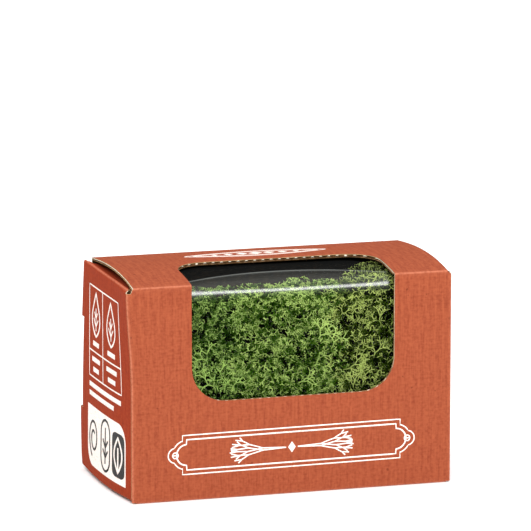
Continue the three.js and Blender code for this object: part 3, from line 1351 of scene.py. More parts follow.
@dataclass
class SideCrease:
    """The fold between the front panel and an end flap: a strip of board bent round the corner between
    them.
    """

    finishes: Finishes
    side: Side
    flap: EndFlap
    crushed: float = 0.85 * MM
    bend: float = 0.8 * MM
    slope: float = 1.7 * MM
    columns: int = 24

    def __post_init__(self) -> None:
        """Lays the strip round the corner. The right one's top slopes down to the flap."""
        sign = self.side.value
        corner = Vector((-CARTON.crease_x, CARTON.front))
        start = Vector((-CARTON.panel_width / 2, CARTON.front))
        end = corner + Matrix.Rotation(self.flap.splay, 2) @ Vector((0, self.flap.bend))
        self.path = FoldPath([Corner(*start), Corner(*corner, self.bend), Corner(*end)])
        low, high = CARTON.strip_low, CARTON.strip_high
        rise = self.slope if self.side is Side.RIGHT else 0
        rows = (Row(s, low, high + rise * (1 - s / self.path.length)) for s in merged(self.path.marks(())))
        self.sheet = FoldedSheet(self.path, [Block(tuple(rows), self.columns)], self.place)
        self.start = Vector((sign * -start.x, start.y, 0))
        self.end = Vector((sign * -end.x, end.y, 0))

    def place(self, section: Vector, across: float) -> Vector:
        """Where a point of the strip's section lies at a height."""
        p = Vector((section.x, section.y, across))
        return CARTON.settled(p) if self.side is Side.LEFT else Vector((-p.x, p.y, p.z))

    def build(self) -> None:
        """Makes the strip, which bends between the carton and the flap."""
        mesh = self.sheet.layer(0, self.crushed, (self.finishes.printed, self.finishes.edge))
        for corner in mesh.uv_layers[SHEET_UV].data:
            corner.uv = (corner.uv[1] + CARTON.crease_x, corner.uv[0])
        name = f"{self.side.word}_side_crease"
        piece = linked(name, mesh)
        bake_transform(piece)
        LOG.info("%s: %d faces", name, len(mesh.polygons))


@dataclass
class WindowFilm:
    """The clear film behind the window: round inside the front crease, and scored where it turns level."""

    finishes: Finishes
    left: float = -47 * MM
    right: float = 48.2 * MM
    foot: float = 33 * MM
    back: float = 6 * MM
    bend: float = 11.4 * MM
    gap: float = 0.3 * MM
    corner: float = 81.5 * MM
    score_in: float = 5.5 * MM
    score: float = 84.9 * MM
    end: float = 86.05 * MM
    thickness: float = 0.2 * MM
    ripple: float = 0.12 * MM
    tilt: float = 0.006
    slide: float = 2.2 * MM
    score_bow: float = 8.3 * MM
    score_milk: float = 2.1
    level_milk: float = 0.05
    columns: int = 36

    def __post_init__(self) -> None:
        """Bends the film."""
        front = CARTON.front + BOARD.thickness + self.gap
        corner = Corner(front, self.corner, self.bend)
        score = Corner(front + self.score_in, self.score, 0.3 * MM)
        self.path = FoldPath([Corner(front, self.foot), corner, score, Corner(self.back, self.end)])
        self.sheet = FoldedSheet(self.path, [self.block()], self.place)

    def block(self) -> Block:
        """The film's outline in rows, which stand closer at the score.

        Returns:
            The block.
        """
        score = self.path.bends[1]
        marks = self.path.marks(()) + spaced(0, self.path.length, 2.5 * MM)
        marks = [s for s in marks if abs(s - score) > 0.8 * MM]
        marks += [score + step * MM for step in (-0.7, -0.32, -0.1, 0.1, 0.32, 0.7)]
        rows = tuple(Row(s, self.left, self.right) for s in merged(marks, 0.15 * MM))
        return Block(rows, self.columns)

    def milky(self, along: float) -> float:
        """How much painted reflection haze the film scatters at a distance along it: most over its bend,
        and a line at the score, where the strip lamp's reflection falls.

        Args:
            along: The distance along the film.

        Returns:
            The haze's share, 1 over the bend.
        """
        bend, score = self.path.bends
        rise = clamped((along - bend - 1.2 * MM) / (2.2 * MM))
        fade = clamped((along - bend - 2.6 * MM) / (score - bend - 2.6 * MM))
        haze = rise * (1 - 0.85 * fade**0.5) if along < score + 0.05 * MM else self.level_milk
        return haze + self.score_milk * math.exp(-(((along - score) / (0.2 * MM)) ** 2))

    def place(self, section: Vector, across: float) -> Vector:
        """Where a point of the film's section lies along X: the score bows back, and the film ripples.

        Args:
            section: The point's Y and Z on the section.
            across: Its X.

        Returns:
            The place.
        """
        wave = noise.noise(Vector((across / 0.03, section.x / 0.012, section.y / 0.02)))
        rise = clamped((section.x + 28.3 * MM) / (3 * MM))
        fall = clamped((self.back - section.x) / (31 * MM))
        slide = rise * fall * (self.slide + self.score_bow * max(1 - (across / (40 * MM)) ** 2, 0))
        sag = self.ripple * (1 + wave)
        drop = 0.7 * sag + self.tilt * (across + self.right) - 0.1 * slide
        return Vector((across, section.x + 0.7 * sag + slide, section.y - drop))

    def build(self) -> Object:
        """Makes the film.

        Returns:
            Its piece.
        """
        mesh = self.sheet.layer(0, self.thickness, (self.finishes.film,))
        # Stores the painted reflection haze along the bend and the score.
        values = [0.0] * len(mesh.vertices)
        for loop, uv in zip(mesh.loops, mesh.uv_layers[SHEET_UV].data):
            values[loop.vertex_index] = self.milky(uv.uv.y)
        set_attribute(mesh, PAINTED_HAZE, "FLOAT", values)
        return piece_of("window_film_sheet", mesh, Body.CARTON, Slot.FILM, "window_film")


@dataclass(frozen=True)
class Stroke:
    """A printed line through places on a panel, closed or open."""

    places: tuple[Flat, ...]
    closed: bool = False


def arc(centre: Flat, radius: float, start: float, end: float, steps: int = 8) -> list[Flat]:
    """Places on an arc."""
    angles = [math.radians(start + (end - start) * k / steps) for k in range(steps + 1)]
    return [(centre[0] + radius * math.cos(a), centre[1] + radius * math.sin(a)) for a in angles]


def mirrored(places: Sequence[Flat], x: float = -1, y: float = 1) -> list[Flat]:
    """Places turned over by factors of their coordinates, in the opposite order where one is negative."""
    turned = [(x * a, y * b) for a, b in places]
    return turned[::-1] if x * y < 0 else turned


def diamond_at(centre: Flat, wide: float, high: float) -> list[Flat]:
    """The corners of a diamond, by its centre, half width and half height."""
    x, y = centre
    return [(x + wide, y), (x, y + high), (x - wide, y), (x, y - high)]


@dataclass
class Print:
    """Lines and patches of ink on one panel of a folded sheet."""

    sheet: FoldedSheet
    body: Body
    lines: LineTree
    along_of: Callable[[float], float]
    thickness: float = 0.06 * MM
    step: float = 3 * MM

    def spot(self, place: Flat, lift: float) -> tuple[Vector, Vector]:
        """A place on the panel, lifted off it, and the direction out of the panel there."""
        along = self.along_of(place[1])
        return self.sheet.point(along, place[0], -lift), self.sheet.outward(along, place[0])

    def stepped(self, stroke: Stroke) -> list[Flat]:
        """A line's places with more between those that lie far apart, so that it follows a bent panel.

        Args:
            stroke: The line.

        Returns:
            The places.
        """
        ends = stroke.places[1:] + (stroke.places[:1] if stroke.closed else ())
        places: list[Flat] = []
        for (a, b), (c, d) in zip(stroke.places, ends):
            count = max(1, math.ceil(math.hypot(c - a, d - b) / self.step))
            places += [(a + (c - a) * k / count, b + (d - b) * k / count) for k in range(count)]
        return places if stroke.closed else places + [stroke.places[-1]]

    def strokes(self, name: str, strokes: Sequence[Stroke], width: float, ink: Material) -> None:
        """Prints lines of one width.

        Args:
            name: The piece's name.
            strokes: The lines.
            width: Their width.
            ink: Their finish.
        """
        points: list[Vector] = []
        outs: list[Vector] = []
        edges: list[tuple[int, int]] = []
        for stroke in strokes:
            first = len(points)
            for place in self.stepped(stroke):
                point, outward = self.spot(place, self.thickness / 2)
                points.append(point)
                outs.append(outward)
            edges += [(i, i + 1) for i in range(first, len(points) - 1)]
            if stroke.closed:
                edges.append((len(points) - 1, first))
        mesh = mesh_of(name, points, [], edges=edges)
        set_attribute(mesh, OUTWARD, "FLOAT_VECTOR", outs)
        result = self.lines.applied(mesh, {"Width": width, "Thickness": self.thickness, "Ink": ink})
        turned_out(result)
        piece_of(name, result, self.body, Slot.BOARD)

    def patches(self, name: str, outlines: Sequence[Sequence[Flat]], ink: Material) -> None:
        """Prints filled shapes.

        Args:
            name: The piece's name.
            outlines: Each shape's outline.
            ink: Their finish.
        """
        shape = bmesh.new()
        for outline in outlines:
            low = [shape.verts.new(self.spot(p, 0)[0]) for p in outline]
            high = [shape.verts.new(self.spot(p, self.thickness)[0]) for p in outline]
            shape.faces.new(low)
            shape.faces.new(high[::-1])
            for k in range(len(outline)):
                m = (k + 1) % len(outline)
                shape.faces.new((low[m], low[k], high[k], high[m]))
        bmesh.ops.recalc_face_normals(shape, faces=shape.faces)
        bmesh.ops.triangulate(shape, faces=shape.faces)
        mesh = bpy.data.meshes.new(name)
        shape.to_mesh(mesh)
        shape.free()
        mesh.materials.append(ink)
        piece_of(name, mesh, self.body, Slot.BOARD)


@dataclass
class FrontPlaque:
    """The white double frame on the front panel, with a forked sprig across its middle."""

    finishes: Finishes
    printed: Print
    middle: float = 18.75 * MM
    tilt: float = 0.0085
    half_width: float = 44.4 * MM
    half_height: float = 7.8 * MM
    inset: float = 1.75 * MM
    outer_step: float = 2.4 * MM
    bow_radius: float = 4.15 * MM
    knob: float = 47.3 * MM
    knob_radius: float = 2.95 * MM
    ring: float = 1.15 * MM
    ring_bar: float = 0.9 * MM
    line: float = 0.5 * MM
    inner_width: float = 0.6 * MM
    diamond: Flat = (1.5 * MM, 2.2 * MM)
    sprig_foot: float = 2.4 * MM
    sprig_length: float = 9.5 * MM
    sprig_turns: Flat = (0.55, -0.42)

    def laid(self, places: Sequence[Flat], closed: bool = False) -> Stroke:
        """A line of the plaque's own places, laid on the panel."""
        return Stroke(tuple((a, b + self.middle + self.tilt * a) for a, b in places), closed)

    def whole(self, quarter: Sequence[Flat]) -> Stroke:
        """A closed line from its quarter at the top right, which ends on the plaque's axis."""
        right = list(quarter) + mirrored(quarter[:-1], 1, -1)
        return self.laid(right + [(-a, -b) for a, b in right], True)

    def outer_line(self) -> Stroke:
        """The outer line, which goes out round the end knobs.

        Returns:
            The line.
        """
        w, h = self.half_width, self.half_height
        bow = (w - self.inset, 0.0)
        neck = arc(bow, self.bow_radius + self.inset, 71, 29, 5)
        knob = arc((self.knob, 0), self.knob_radius, 80, 0)
        return self.whole([(w, h), (w, h - self.outer_step), *neck, *knob])

    def inner_line(self) -> Stroke:
        """The inner line, which bows out at its ends."""
        w, h = self.half_width - self.inset, self.half_height - self.inset
        return self.whole([(w, h), *arc((w, 0), self.bow_radius, 88, 0, 9)])

    def rings(self) -> list[Stroke]:
        """The small ring in each end knob, and the bar across it.

        Returns:
            The rings, then the bars.
        """
        middles = (-self.knob, self.knob)
        rings = [self.laid(arc((x, 0), self.ring, 0, 360, 16)[:-1], True) for x in middles]
        return rings + [self.laid([(x - self.ring_bar, 0), (x + self.ring_bar, 0)]) for x in middles]

    def sprig(self) -> list[Stroke]:
        """A lying sprig that forks evenly to both ends.

        Returns:
            Its branches.
        """
        strokes: list[list[Flat]] = []

        def grow(start: Flat, angle: float, length: float, level: int) -> None:
            """Draws a branch as a soft bow and forks it.

            Args:
                start: Its foot.
                angle: The way it sets out, in radians.
                length: Its length.
                level: How often it still forks.
            """
            bent = angle * 0.82
            steps = 5
            places = [start]
            for k in range(steps):
                a = angle + (bent - angle) * (k + 0.5) / steps
                x, y = places[-1]
                places.append((x + math.cos(a) * length / steps, y + math.sin(a) * length / steps))
            strokes.append(places)
            if level:
                for turn in self.sprig_turns:
                    side = turn if level % 2 else -turn
                    grow(places[-1], bent + side, length * 0.68, level - 1)

        for angle in (0.1, -0.1):
            grow((self.sprig_foot, 0), angle, self.sprig_length, 3)
        both = [[(side * a, b * 0.5) for a, b in places] for places in strokes for side in (-1, 1)]
        return [self.laid(places) for places in both]

    def build(self) -> None:
        """Prints the plaque."""
        white = self.finishes.white
        self.printed.strokes("plaque_outer_line", [self.outer_line()], self.line, white)
        self.printed.strokes("plaque_inner_line", [self.inner_line()], self.inner_width, white)
        self.printed.strokes("plaque_rings", self.rings(), self.line, white)
        self.printed.strokes("plaque_sprig", self.sprig(), self.line, white)
        diamond = diamond_at((0, 0), *self.diamond)
        self.printed.patches("plaque_diamond", [self.laid(diamond).places], white)


@dataclass
class TopOrnament:
    """A long white double oval with a row of diamonds, printed behind the window."""

    finishes: Finishes
    printed: Print
    middle: Flat = (-1.5 * MM, 13.6 * MM)
    half: float = 29 * MM
    rise: float = 6.6 * MM
    inset: float = 1.9 * MM
    pinch: float = 0.55
    steps: int = 56
    line: float = 0.8 * MM
    diamond: float = 2.9 * MM
    smaller: float = 0.5 * MM
    apart: float = 5.6 * MM

    def oval(self, inset: float) -> Stroke:
        """One oval line, pinched towards its ends.

        Args:
            inset: How far inside the outermost oval it runs.

        Returns:
            The line.
        """
        x, y = self.middle
        half, rise = self.half - 1.8 * inset, self.rise - inset
        places = []
        for k in range(self.steps):
            a, b = math.cos(math.tau * k / self.steps), math.sin(math.tau * k / self.steps)
            places.append((x + half * a, y + rise * b * (1 - self.pinch * (1 - b * b))))
        return Stroke(tuple(places), True)

    def build(self) -> None:
        """Prints the ornament."""
        white = self.finishes.white
        self.printed.strokes("top_ovals", [self.oval(0), self.oval(self.inset)], self.line, white)
        x, y = self.middle
        sizes = [(k, self.diamond - self.smaller * abs(k)) for k in range(-3, 4)]
        diamonds = [diamond_at((x + k * self.apart, y), size, size) for k, size in sizes]
        self.printed.patches("top_diamonds", diamonds, white)


@dataclass
class EndPrint:
    """A white two-column table and a pale patch with line motifs on the left end panel."""

    finishes: Finishes
    printed: Print
    left: float = 54.5 * MM
    right: float = 13.5 * MM
    divider: float = 35.5 * MM
    low: float = 41.2 * MM
    high: float = 77.2 * MM
    row: float = 51.5 * MM
    lean: float = 3 * MM
    drop: tuple[float, float, float] = (57.8 * MM, 75 * MM, 7 * MM)
    plies: int = 3

    def cells(self) -> Flat:
        """The middles of the table's two columns."""
        return (self.left + self.divider) / 2, (self.right + self.divider) / 2

    def leant(self, strokes: Sequence[Stroke]) -> list[Stroke]:
        """Lines moved towards the front crease, more the lower they lie, as the print stands askew.

        Args:
            strokes: The lines.

        Returns:
            The moved lines.
        """
        share = self.lean / (self.high - self.low)
        moved = (tuple((a - share * (self.high - b), b) for a, b in stroke.places) for stroke in strokes)
        return [Stroke(places, stroke.closed) for places, stroke in zip(moved, strokes)]

    def table(self) -> list[Stroke]:
        """The table's lines.

        Returns:
            Its outline and the two lines that part it.
        """
        left, right, low, high = self.left, self.right, self.low, self.high
        outline = ((left, low), (right, low), (right, high), (left, high))
        return [
            Stroke(outline, True),
            Stroke(((self.divider, self.low), (self.divider, self.high))),
            Stroke(((self.left, self.row), (self.right, self.row))),
        ]

    def drops(self) -> list[Stroke]:
        """A leaf-like drop outline in each upper cell.

        Returns:
            The outlines.
        """
        strokes = []
        low, high, wide = self.drop
        for cell in self.cells():
            edge = []
            for t in (k / 16 for k in range(17)):
                half = wide * math.sin(t * math.pi) ** 0.8 * (1.1 - 0.75 * t)
                edge.append((cell + half, low + (high - low) * t))
            edge += [(2 * cell - a, b) for a, b in edge[-2:0:-1]]
            strokes.append(Stroke(tuple(edge), True))
        return strokes

    def veins(self) -> list[Stroke]:
        """The forked vein in each drop.

        Returns:
            The veins.
        """
        strokes = []
        for cell in self.cells():
            strokes.append(Stroke(((cell, 60 * MM), (cell, 69 * MM))))
            for side in (-1, 1):
                strokes.append(Stroke(((cell, 61.8 * MM), (cell + side * 3 * MM, 64.8 * MM))))
                strokes.append(Stroke(((cell, 64.8 * MM), (cell + side * 2 * MM, 67.4 * MM))))
        return strokes

    def bars(self) -> list[Stroke]:
        """Plain bars in the lower cells and under the table.

        Returns:
            The bars.
        """
        strokes = []
        for low, high in ((self.left, self.divider), (self.divider, self.right)):
            for height, share in ((54.8, 0.42), (48.4, 0.56), (44.4, 0.4)):
                centre, half = (low + high) / 2, (low - high) / 2 * share
                strokes.append(Stroke(((centre - half, height * MM), (centre + half, height * MM))))
        strokes.append(Stroke(((self.left, 37.8 * MM), (self.right + 1 * MM, 37.8 * MM))))
        strokes.append(Stroke(((self.left, 34.2 * MM), (self.right + 9 * MM, 34.2 * MM))))
        return strokes

    def patch(self) -> Block:
        """The pale patch in rows, round at its top front and bottom back corners.

        Returns:
            Its block.
        """
        near, far, low, high, r = 6.5 * MM, 53 * MM, 5.2 * MM, 29.4 * MM, 7.5 * MM
        rows = []
        turns = [k / 10 * math.pi / 2 for k in range(11)]
        heights = [low + r - r * math.cos(a) for a in turns]
        heights += [high - r + r * math.sin(a) for a in turns]
        for height in merged(heights):
            above, below = max(height - (high - r), 0), max(low + r - height, 0)
            front = near + r - math.sqrt(r * r - above * above)
            back = far - r + math.sqrt(r * r - below * below)
            rows.append(Row(self.printed.along_of(height), front, back))
        return Block(tuple(rows), 16)

    def plate(self) -> Block:
        """A dark upright plate on the pale patch, in rows.

        Returns:
            Its block.
        """
        near, far, low, high, r = 7.4 * MM, 20 * MM, 7.6 * MM, 25.4 * MM, 3 * MM
        rows = []
        for height in spaced(low, high, 0.8 * MM):
            over = max(height - (high - r), low + r - height, 0)
            inset = r - math.sqrt(max(r * r - over * over, 0))
            rows.append(Row(self.printed.along_of(height), near + inset, far - inset))
        return Block(tuple(rows), 8)

    def motifs(self) -> list[Stroke]:
        """Dark line motifs on the pale patch: a curled frond and a leaf in a round-ended frame.

        Returns:
            The lines.
        """
        frond = []
        for k in range(33):
            turn = k / 32
            reach = 6.6 * (1 - 0.72 * turn) * MM
            angle = math.radians(-70 + 560 * turn)
            frond.append((44 * MM + reach * math.cos(angle), 17 * MM + 1.25 * reach * math.sin(angle)))
        x, half, low, high = 28.2 * MM, 5.4 * MM, 10 * MM, 24.5 * MM
        ring = arc((x, high - half + 3 * MM), half, 0, 180)
        ring += arc((x, low + half - 3 * MM), half, 180, 360)
        stem = [(x, low), (x, high)]
        feet = [(z, side) for z in (12.5, 16.5) for side in (-1, 1)]
        veins = [Stroke(((x, z * MM), (x + side * 3 * MM, (z + 3) * MM))) for z, side in feet]
        return [Stroke(tuple(frond)), Stroke(tuple(ring), True), Stroke(tuple(stem)), *veins]

    def leaf(self) -> list[Stroke]:
        """A pale leaf on the dark plate.

        Returns:
            Its outline and its middle vein.
        """
        x, low, high, wide = 13.6 * MM, 9.5 * MM, 23.6 * MM, 4 * MM
        edge = [
            (x + side * wide * math.sin(math.pi * t), low + (high - low) * t)
            for side, ts in ((1, range(0, 10)), (-1, range(10, 0, -1)))
            for t in (k / 10 for k in ts)
        ]
        return [Stroke(tuple(edge), True), Stroke(((x, low), (x, high - 4 * MM)))]

    def build(self) -> None:
        """Prints the end panel."""
        white, black = self.finishes.white, self.finishes.black
        self.printed.strokes("end_table", self.leant(self.table()), 0.55 * MM, white)
        self.printed.strokes("end_drops", self.leant(self.drops()), 1.0 * MM, white)
        self.printed.strokes("end_veins", self.leant(self.veins()), 0.7 * MM, white)
        self.printed.strokes("end_bars", self.leant(self.bars()), 1.9 * MM, white)
        sheet, body, ply = self.printed.sheet, self.printed.body, self.printed.thickness
        pale = FoldedSheet(sheet.path, [self.patch()], sheet.place)
        piece_of("end_patch", pale.layer(-ply, 0, (white,)), body, Slot.BOARD)
        dark = FoldedSheet(sheet.path, [self.plate()], sheet.place)
        piece_of("end_plate", dark.layer(-2 * ply, -ply, (black,)), body, Slot.BOARD)
        lifted = replace(self.printed, thickness=self.plies * ply)
        lifted.strokes("end_motifs", self.motifs(), 1.0 * MM, black)
        lifted.thickness = (self.plies + 2) * ply
        lifted.strokes("end_leaf", self.leaf(), 1.0 * MM, white)


@dataclass(frozen=True)
class Habit:
    """How a sprig of lichen grows: its forks, lengths and thickness."""

    name: str
    levels: int
    length: float
    shrink: float
    radius: float
    tip_radius: float
    fork: Flat
    three: float
    bow: float
    flat: bool = False


class Sprig:
    """A forked sprig that stands on the origin along +Z, as closed three-sided branches."""

    SIDES = 3

    def __init__(self, habit: Habit, seed: int) -> None:
        """Grows the sprig.

        Args:
            habit: How it grows.
            seed: The seed of its own shape.
        """
        self.habit = habit
        self.draw = random.Random(seed)
        self.points: list[Vector] = []
        self.faces: list[tuple[int, ...]] = []
        self.shares: list[float] = []
        self.grow(Vector((0, 0, 0)), Vector((0, 0, 1)), 0)

    def any_way(self) -> Vector:
        """A random direction."""
        return Vector([self.draw.gauss(0, 1) for _ in range(3)]).normalized()

    def thickness(self, level: float) -> float:
        """The branch's radius at a level, and between levels."""
        share = level / (self.habit.levels + 1)
        return self.habit.radius + (self.habit.tip_radius - self.habit.radius) * share

    def ring(self, centre: Vector, direction: Vector, level: float) -> list[int]:
        """Adds a ring of points round a branch.

        Args:
            centre: Its centre.
            direction: The branch's direction there.
            level: How many forks it lies up the sprig.

        Returns:
            The points' numbers.
        """
        turned = direction.to_track_quat("Z", "Y")
        first = len(self.points)
        radius = self.thickness(level)
        for k in range(self.SIDES):
            angle = math.tau * k / self.SIDES
            out = Vector((radius * math.cos(angle), radius * math.sin(angle), 0))
            self.points.append(centre + turned @ out)
            self.shares.append(level / (self.habit.levels + 1))
        return list(range(first, first + self.SIDES))

    def grow(self, start: Vector, direction: Vector, level: int) -> None:
        """Grows a branch and, below the last level, its forks.

        Args:
            start: The branch's foot.
            direction: The way it sets out.
            level: How many forks it lies up the sprig.
        """
        habit, draw = self.habit, self.draw
        length = habit.length * habit.shrink**level * draw.uniform(0.75, 1.25)
        bent = (direction + self.any_way() * habit.bow).normalized()
        middle = start + direction * length / 2
        end = middle + bent * length / 2
        low = self.ring(start, direction, level)
        self.faces.append(tuple(reversed(low)))
        if level < 2:
            high = self.ring(middle, direction.lerp(bent, 0.5), level + 0.5)
            self.wall(low, high)
            low = high
        top = self.ring(end, bent, level + 1)
        self.wall(low, top)
        self.faces.append(tuple(top))
        if level == habit.levels:
            return
        for way in self.forks(bent):
            self.grow(end - bent * self.thickness(level + 1) * 0.5, way, level + 1)

    def forks(self, along: Vector) -> list[Vector]:
        """The ways that a branch's forks set out.

        Args:
            along: The branch's direction at its end.

        Returns:
            Two or three directions.
        """
        draw = self.draw
        count = 3 if draw.random() < self.habit.three else 2
        turn = draw.uniform(0, math.tau)
        frame_of = along.to_track_quat("Z", "Y")
        ways = []
        for k in range(count):
            lean = math.radians(draw.uniform(*self.habit.fork))
            way = turn + math.tau * k / count + draw.uniform(-0.4, 0.4)
            aside = math.sin(lean)
            out = Vector((aside * math.cos(way), aside * math.sin(way), math.cos(lean)))
            ways.append(frame_of @ out)
        return ways

    def wall(self, low: list[int], high: list[int]) -> None:
        """Joins two rings by faces.

        Args:
            low: The lower ring's points.
            high: The upper ring's points.
        """
        for k in range(self.SIDES):
            m = (k + 1) % self.SIDES
            self.faces.append((low[k], low[m], high[m], high[k]))

    def mesh(self, name: str) -> Mesh:
        """The sprig's mesh, with each point's share of the way to the tips.

        Args:
            name: The mesh's name.

        Returns:
            The mesh.
        """
        mesh = mesh_of(name, self.points, self.faces)
        set_attribute(mesh, TIP, "FLOAT", self.shares)
        mesh.shade_smooth()
        return mesh


class FlatSprig(Sprig):
    """A sprig whose forks stand side by side, as they do where moss is pressed to a window."""

    FLATNESS = 0.2

    def any_way(self) -> Vector:
        """A random direction, mostly along the window.

        Returns:
            The direction.
        """
        way = super().any_way()
        way.y *= self.FLATNESS
        return way.normalized()

    def forks(self, along: Vector) -> list[Vector]:
        """The ways that a branch's forks set out, side by side.

        Args:
            along: The branch's direction at its end.

        Returns:
            Two or three directions.
        """
        draw = self.draw
        leans = [-draw.uniform(*self.habit.fork), draw.uniform(*self.habit.fork)]
        if draw.random() < self.habit.three:
            leans.append(draw.uniform(-12, 12))
        return [Matrix.Rotation(math.radians(lean), 3, "Y") @ along for lean in leans]


class SprigLibrary:
    """A collection of sprigs of one habit, to scatter copies of."""

    COUNT = 14

    def __init__(self, habit: Habit) -> None:
        """Grows the sprigs.

        Args:
            habit: How they grow.
        """
        self.collection = bpy.data.collections.new(f"{habit.name}_library")
        bpy.context.scene.collection.children.link(self.collection)
        for seed in range(self.COUNT):
            name = f"{habit.name}_{seed}"
            mesh = (FlatSprig if habit.flat else Sprig)(habit, seed).mesh(name)
            if habit.flat:
                mesh.transform(Matrix.Rotation(-math.pi / 2, 4, "X"))
            self.collection.objects.link(bpy.data.objects.new(name, mesh))

    def clear(self) -> None:
        """Removes the library once its copies are made."""
        for sprig in list(self.collection.objects):
            bpy.data.objects.remove(sprig)
        bpy.data.collections.remove(self.collection)


class ScatterTree(GeometryTree):
    """Grows sprigs over a core: evenly spread points, each with a sprig that leans its own way."""

    def __init__(self) -> None:
        """Builds the tree."""
        super().__init__("sprig_scatter")
        sprigs = self.add_input("Sprigs", "NodeSocketCollection")
        names = ("Apart", "Most", "Lean", "Lift", "Least")
        apart, most, lean, lift, least = (self.add_input(name, "NodeSocketFloat") for name in names)
        seed = self.add_input("Seed", "NodeSocketInt")
        finish = self.add_input("Finish", "NodeSocketMaterial")
        inputs = {
            "Mesh": self.geometry,
            "Distance Min": apart,
            "Density Max": most,
            "Density Factor": self.named(DENSITY, "FLOAT"),
            "Seed": seed,
        }
        spread = self.node("GeometryNodeDistributePointsOnFaces", inputs, distribute_method="POISSON")
        height = self.chance("FLOAT", 0.0, 1.0, seed)
        rise = self.times(height, lift)
        raised = self.moved(spread.outputs["Points"], spread.outputs["Normal"], rise)
        reach = self.node("ShaderNodeCombineXYZ", {0: lean, 1: lean, 2: math.pi})
        spin = self.chance("FLOAT_VECTOR", (-1, -1, -1), (1, 1, 1), seed)
        turn = self.node("ShaderNodeVectorMath", {0: spin, 1: reach.outputs[0]}, operation="MULTIPLY")
        inputs = {"Rotation": spread.outputs["Rotation"], "Rotate By": turn.outputs[0]}
        turned = self.node("FunctionNodeRotateRotation", inputs, rotation_space="LOCAL")
        inputs = {"Collection": sprigs, "Separate Children": True, "Reset Children": True}
        library = self.node("GeometryNodeCollectionInfo", inputs)
        inputs = {
            "Points": raised,
            "Instance": library.outputs[0],
            "Pick Instance": True,
            "Instance Index": self.chance("INT", 0, SprigLibrary.COUNT - 1, seed),
            "Rotation": turned.outputs[0],
            "Scale": self.chance("FLOAT", least, 1.0, seed),
        }
        grown = self.node("GeometryNodeInstanceOnPoints", inputs)
        shade = self.chance("FLOAT", 0.0, 1.0, seed)
        inputs = {"Geometry": grown.outputs[0], "Name": SHADE, "Value": shade}
        kinds = {"data_type": "FLOAT", "domain": "INSTANCE"}
        shaded = self.node("GeometryNodeStoreNamedAttribute", inputs, **kinds)
        self.finish(shaded.outputs[0], finish)


@dataclass(frozen=True)
class Tuft:
    """A rise of a cushion's top."""

    x: float
    y: float
    rise: float
    width: float


class Hold:
    """The room behind the film and inside the board, which the moss is softly pressed into."""

    FRONT = -30.5 * MM
    FLOOR = 3.3 * MM
    END = 61.2 * MM
    CORNER = 11 * MM
    UNDER_TOP = 2.3 * MM
    SLUMP = 1.2 * MM
    # How fast the painted shade deepens inside the moss.
    DEPTH = 2.5 * MM
    FALL = 0.2
    KNEE = 2.2 * MM

    def __init__(self, back: float, tufts: Sequence[Tuft]) -> None:
        """Keeps the room's back and where the moss reaches up to the film."""
        self.back = back
        self.tufts = tufts

    def top(self, x: np.ndarray, y: np.ndarray) -> np.ndarray:
        """The greatest Z at each place: under the film on a tuft, and lower where the moss has sunk.

        Args:
            x: The places' X.
            y: Their Y.

        Returns:
            The heights.
        """
        t = np.clip(y / (CARTON.depth / 2), -1, 1)
        film = CARTON.height + CARTON.dome * (1 - t * t) * (1 - CARTON.dome_lean * t) - self.UNDER_TOP
        risen = np.zeros_like(x)
        for tuft in self.tufts:
            risen = risen + np.exp(-(((x - tuft.x) ** 2 + (y - tuft.y) ** 2) / tuft.width**2))
        slump = self.SLUMP + self.FALL * np.maximum(y - self.FRONT - 8 * MM, 0)
        return film - slump * (1 - np.clip(1.6 * risen, 0, 1))

    def eased(self, gap: np.ndarray) -> np.ndarray:
        """Gaps to a wall, with those under the knee or past the wall eased to just inside it."""
        return np.where(gap < self.KNEE, self.KNEE * np.exp(np.minimum(gap / self.KNEE - 1, 0)), gap)

    def press(self, mesh: Mesh) -> None:
        """Presses a mesh into the room and stores how near each point lies to its front, top and ends,
        which the moss colour uses as painted shade that deepens further in.

        Args:
            mesh: The mesh, which is changed.
        """
        flat = np.empty(len(mesh.vertices) * 3, dtype=np.float32)
        mesh.vertices.foreach_get("co", flat)
        x, y, z = flat.reshape(-1, 3).T.astype(float)
        x = np.sign(x) * (self.END - self.eased(self.END - np.abs(x)))
        z = self.FLOOR + self.eased(z - self.FLOOR)
        y = self.back - self.eased(self.back - y)
        top = self.top(x, y)
        centre_y = self.FRONT + self.CORNER
        centre_z = top - self.CORNER
        corner = (y < centre_y) & (z > centre_z)
        dy, dz = centre_y - y, z - centre_z
        reach = np.maximum(np.hypot(dy, dz), 1e-9)
        kept = (self.CORNER - self.eased(self.CORNER - reach)) / reach
        y, z = (
            np.where(corner, centre_y - dy * kept, self.FRONT + self.eased(y - self.FRONT)),
            np.where(corner, centre_z + dz * kept, top - self.eased(top - z)),
        )
        mesh.vertices.foreach_set("co", np.stack([x, y, z], axis=1).astype(np.float32).ravel())
        mesh.update()
        bent = self.CORNER * (1 - kept * reach / self.CORNER)
        near = np.where(corner, bent, np.minimum(y - self.FRONT, top - z))
        gap = np.minimum(near, self.END - np.abs(x))
        # Painted shade: the colour darkens the further a point lies inside the moss from the film, top and
        # ends.
        set_attribute(mesh, PAINTED_DEPTH_SHADE, "FLOAT", np.exp(-np.maximum(gap, 0) / self.DEPTH))


@dataclass(frozen=True)
class Hollow:
    """A dark hole in the moss behind the window, by its place and size on the front."""

    x: float
    z: float
    wide: float
    high: float

    def share(self, p: Vector) -> float:
        """How much of the hole a place on the front has, from 0 to 1."""
        far = math.hypot((p.x - self.x) / self.wide, (p.z - self.z) / self.high)
        return clamped(1.6 - far)


HOLLOWS = tuple(
    Hollow(*(value * MM for value in row))
    for row in (
        (-7, 73, 2.8, 4), (-11, 58.5, 2.3, 2.2), (4, 55.5, 2.2, 4), (7.5, 45.5, 2, 2.2),
        (37.8, 55.6, 2.8, 3.2), (21.5, 56, 1.6, 2.6), (33, 42.5, 2.6, 2.6), (-33, 44.5, 3, 2.8),
    )
)


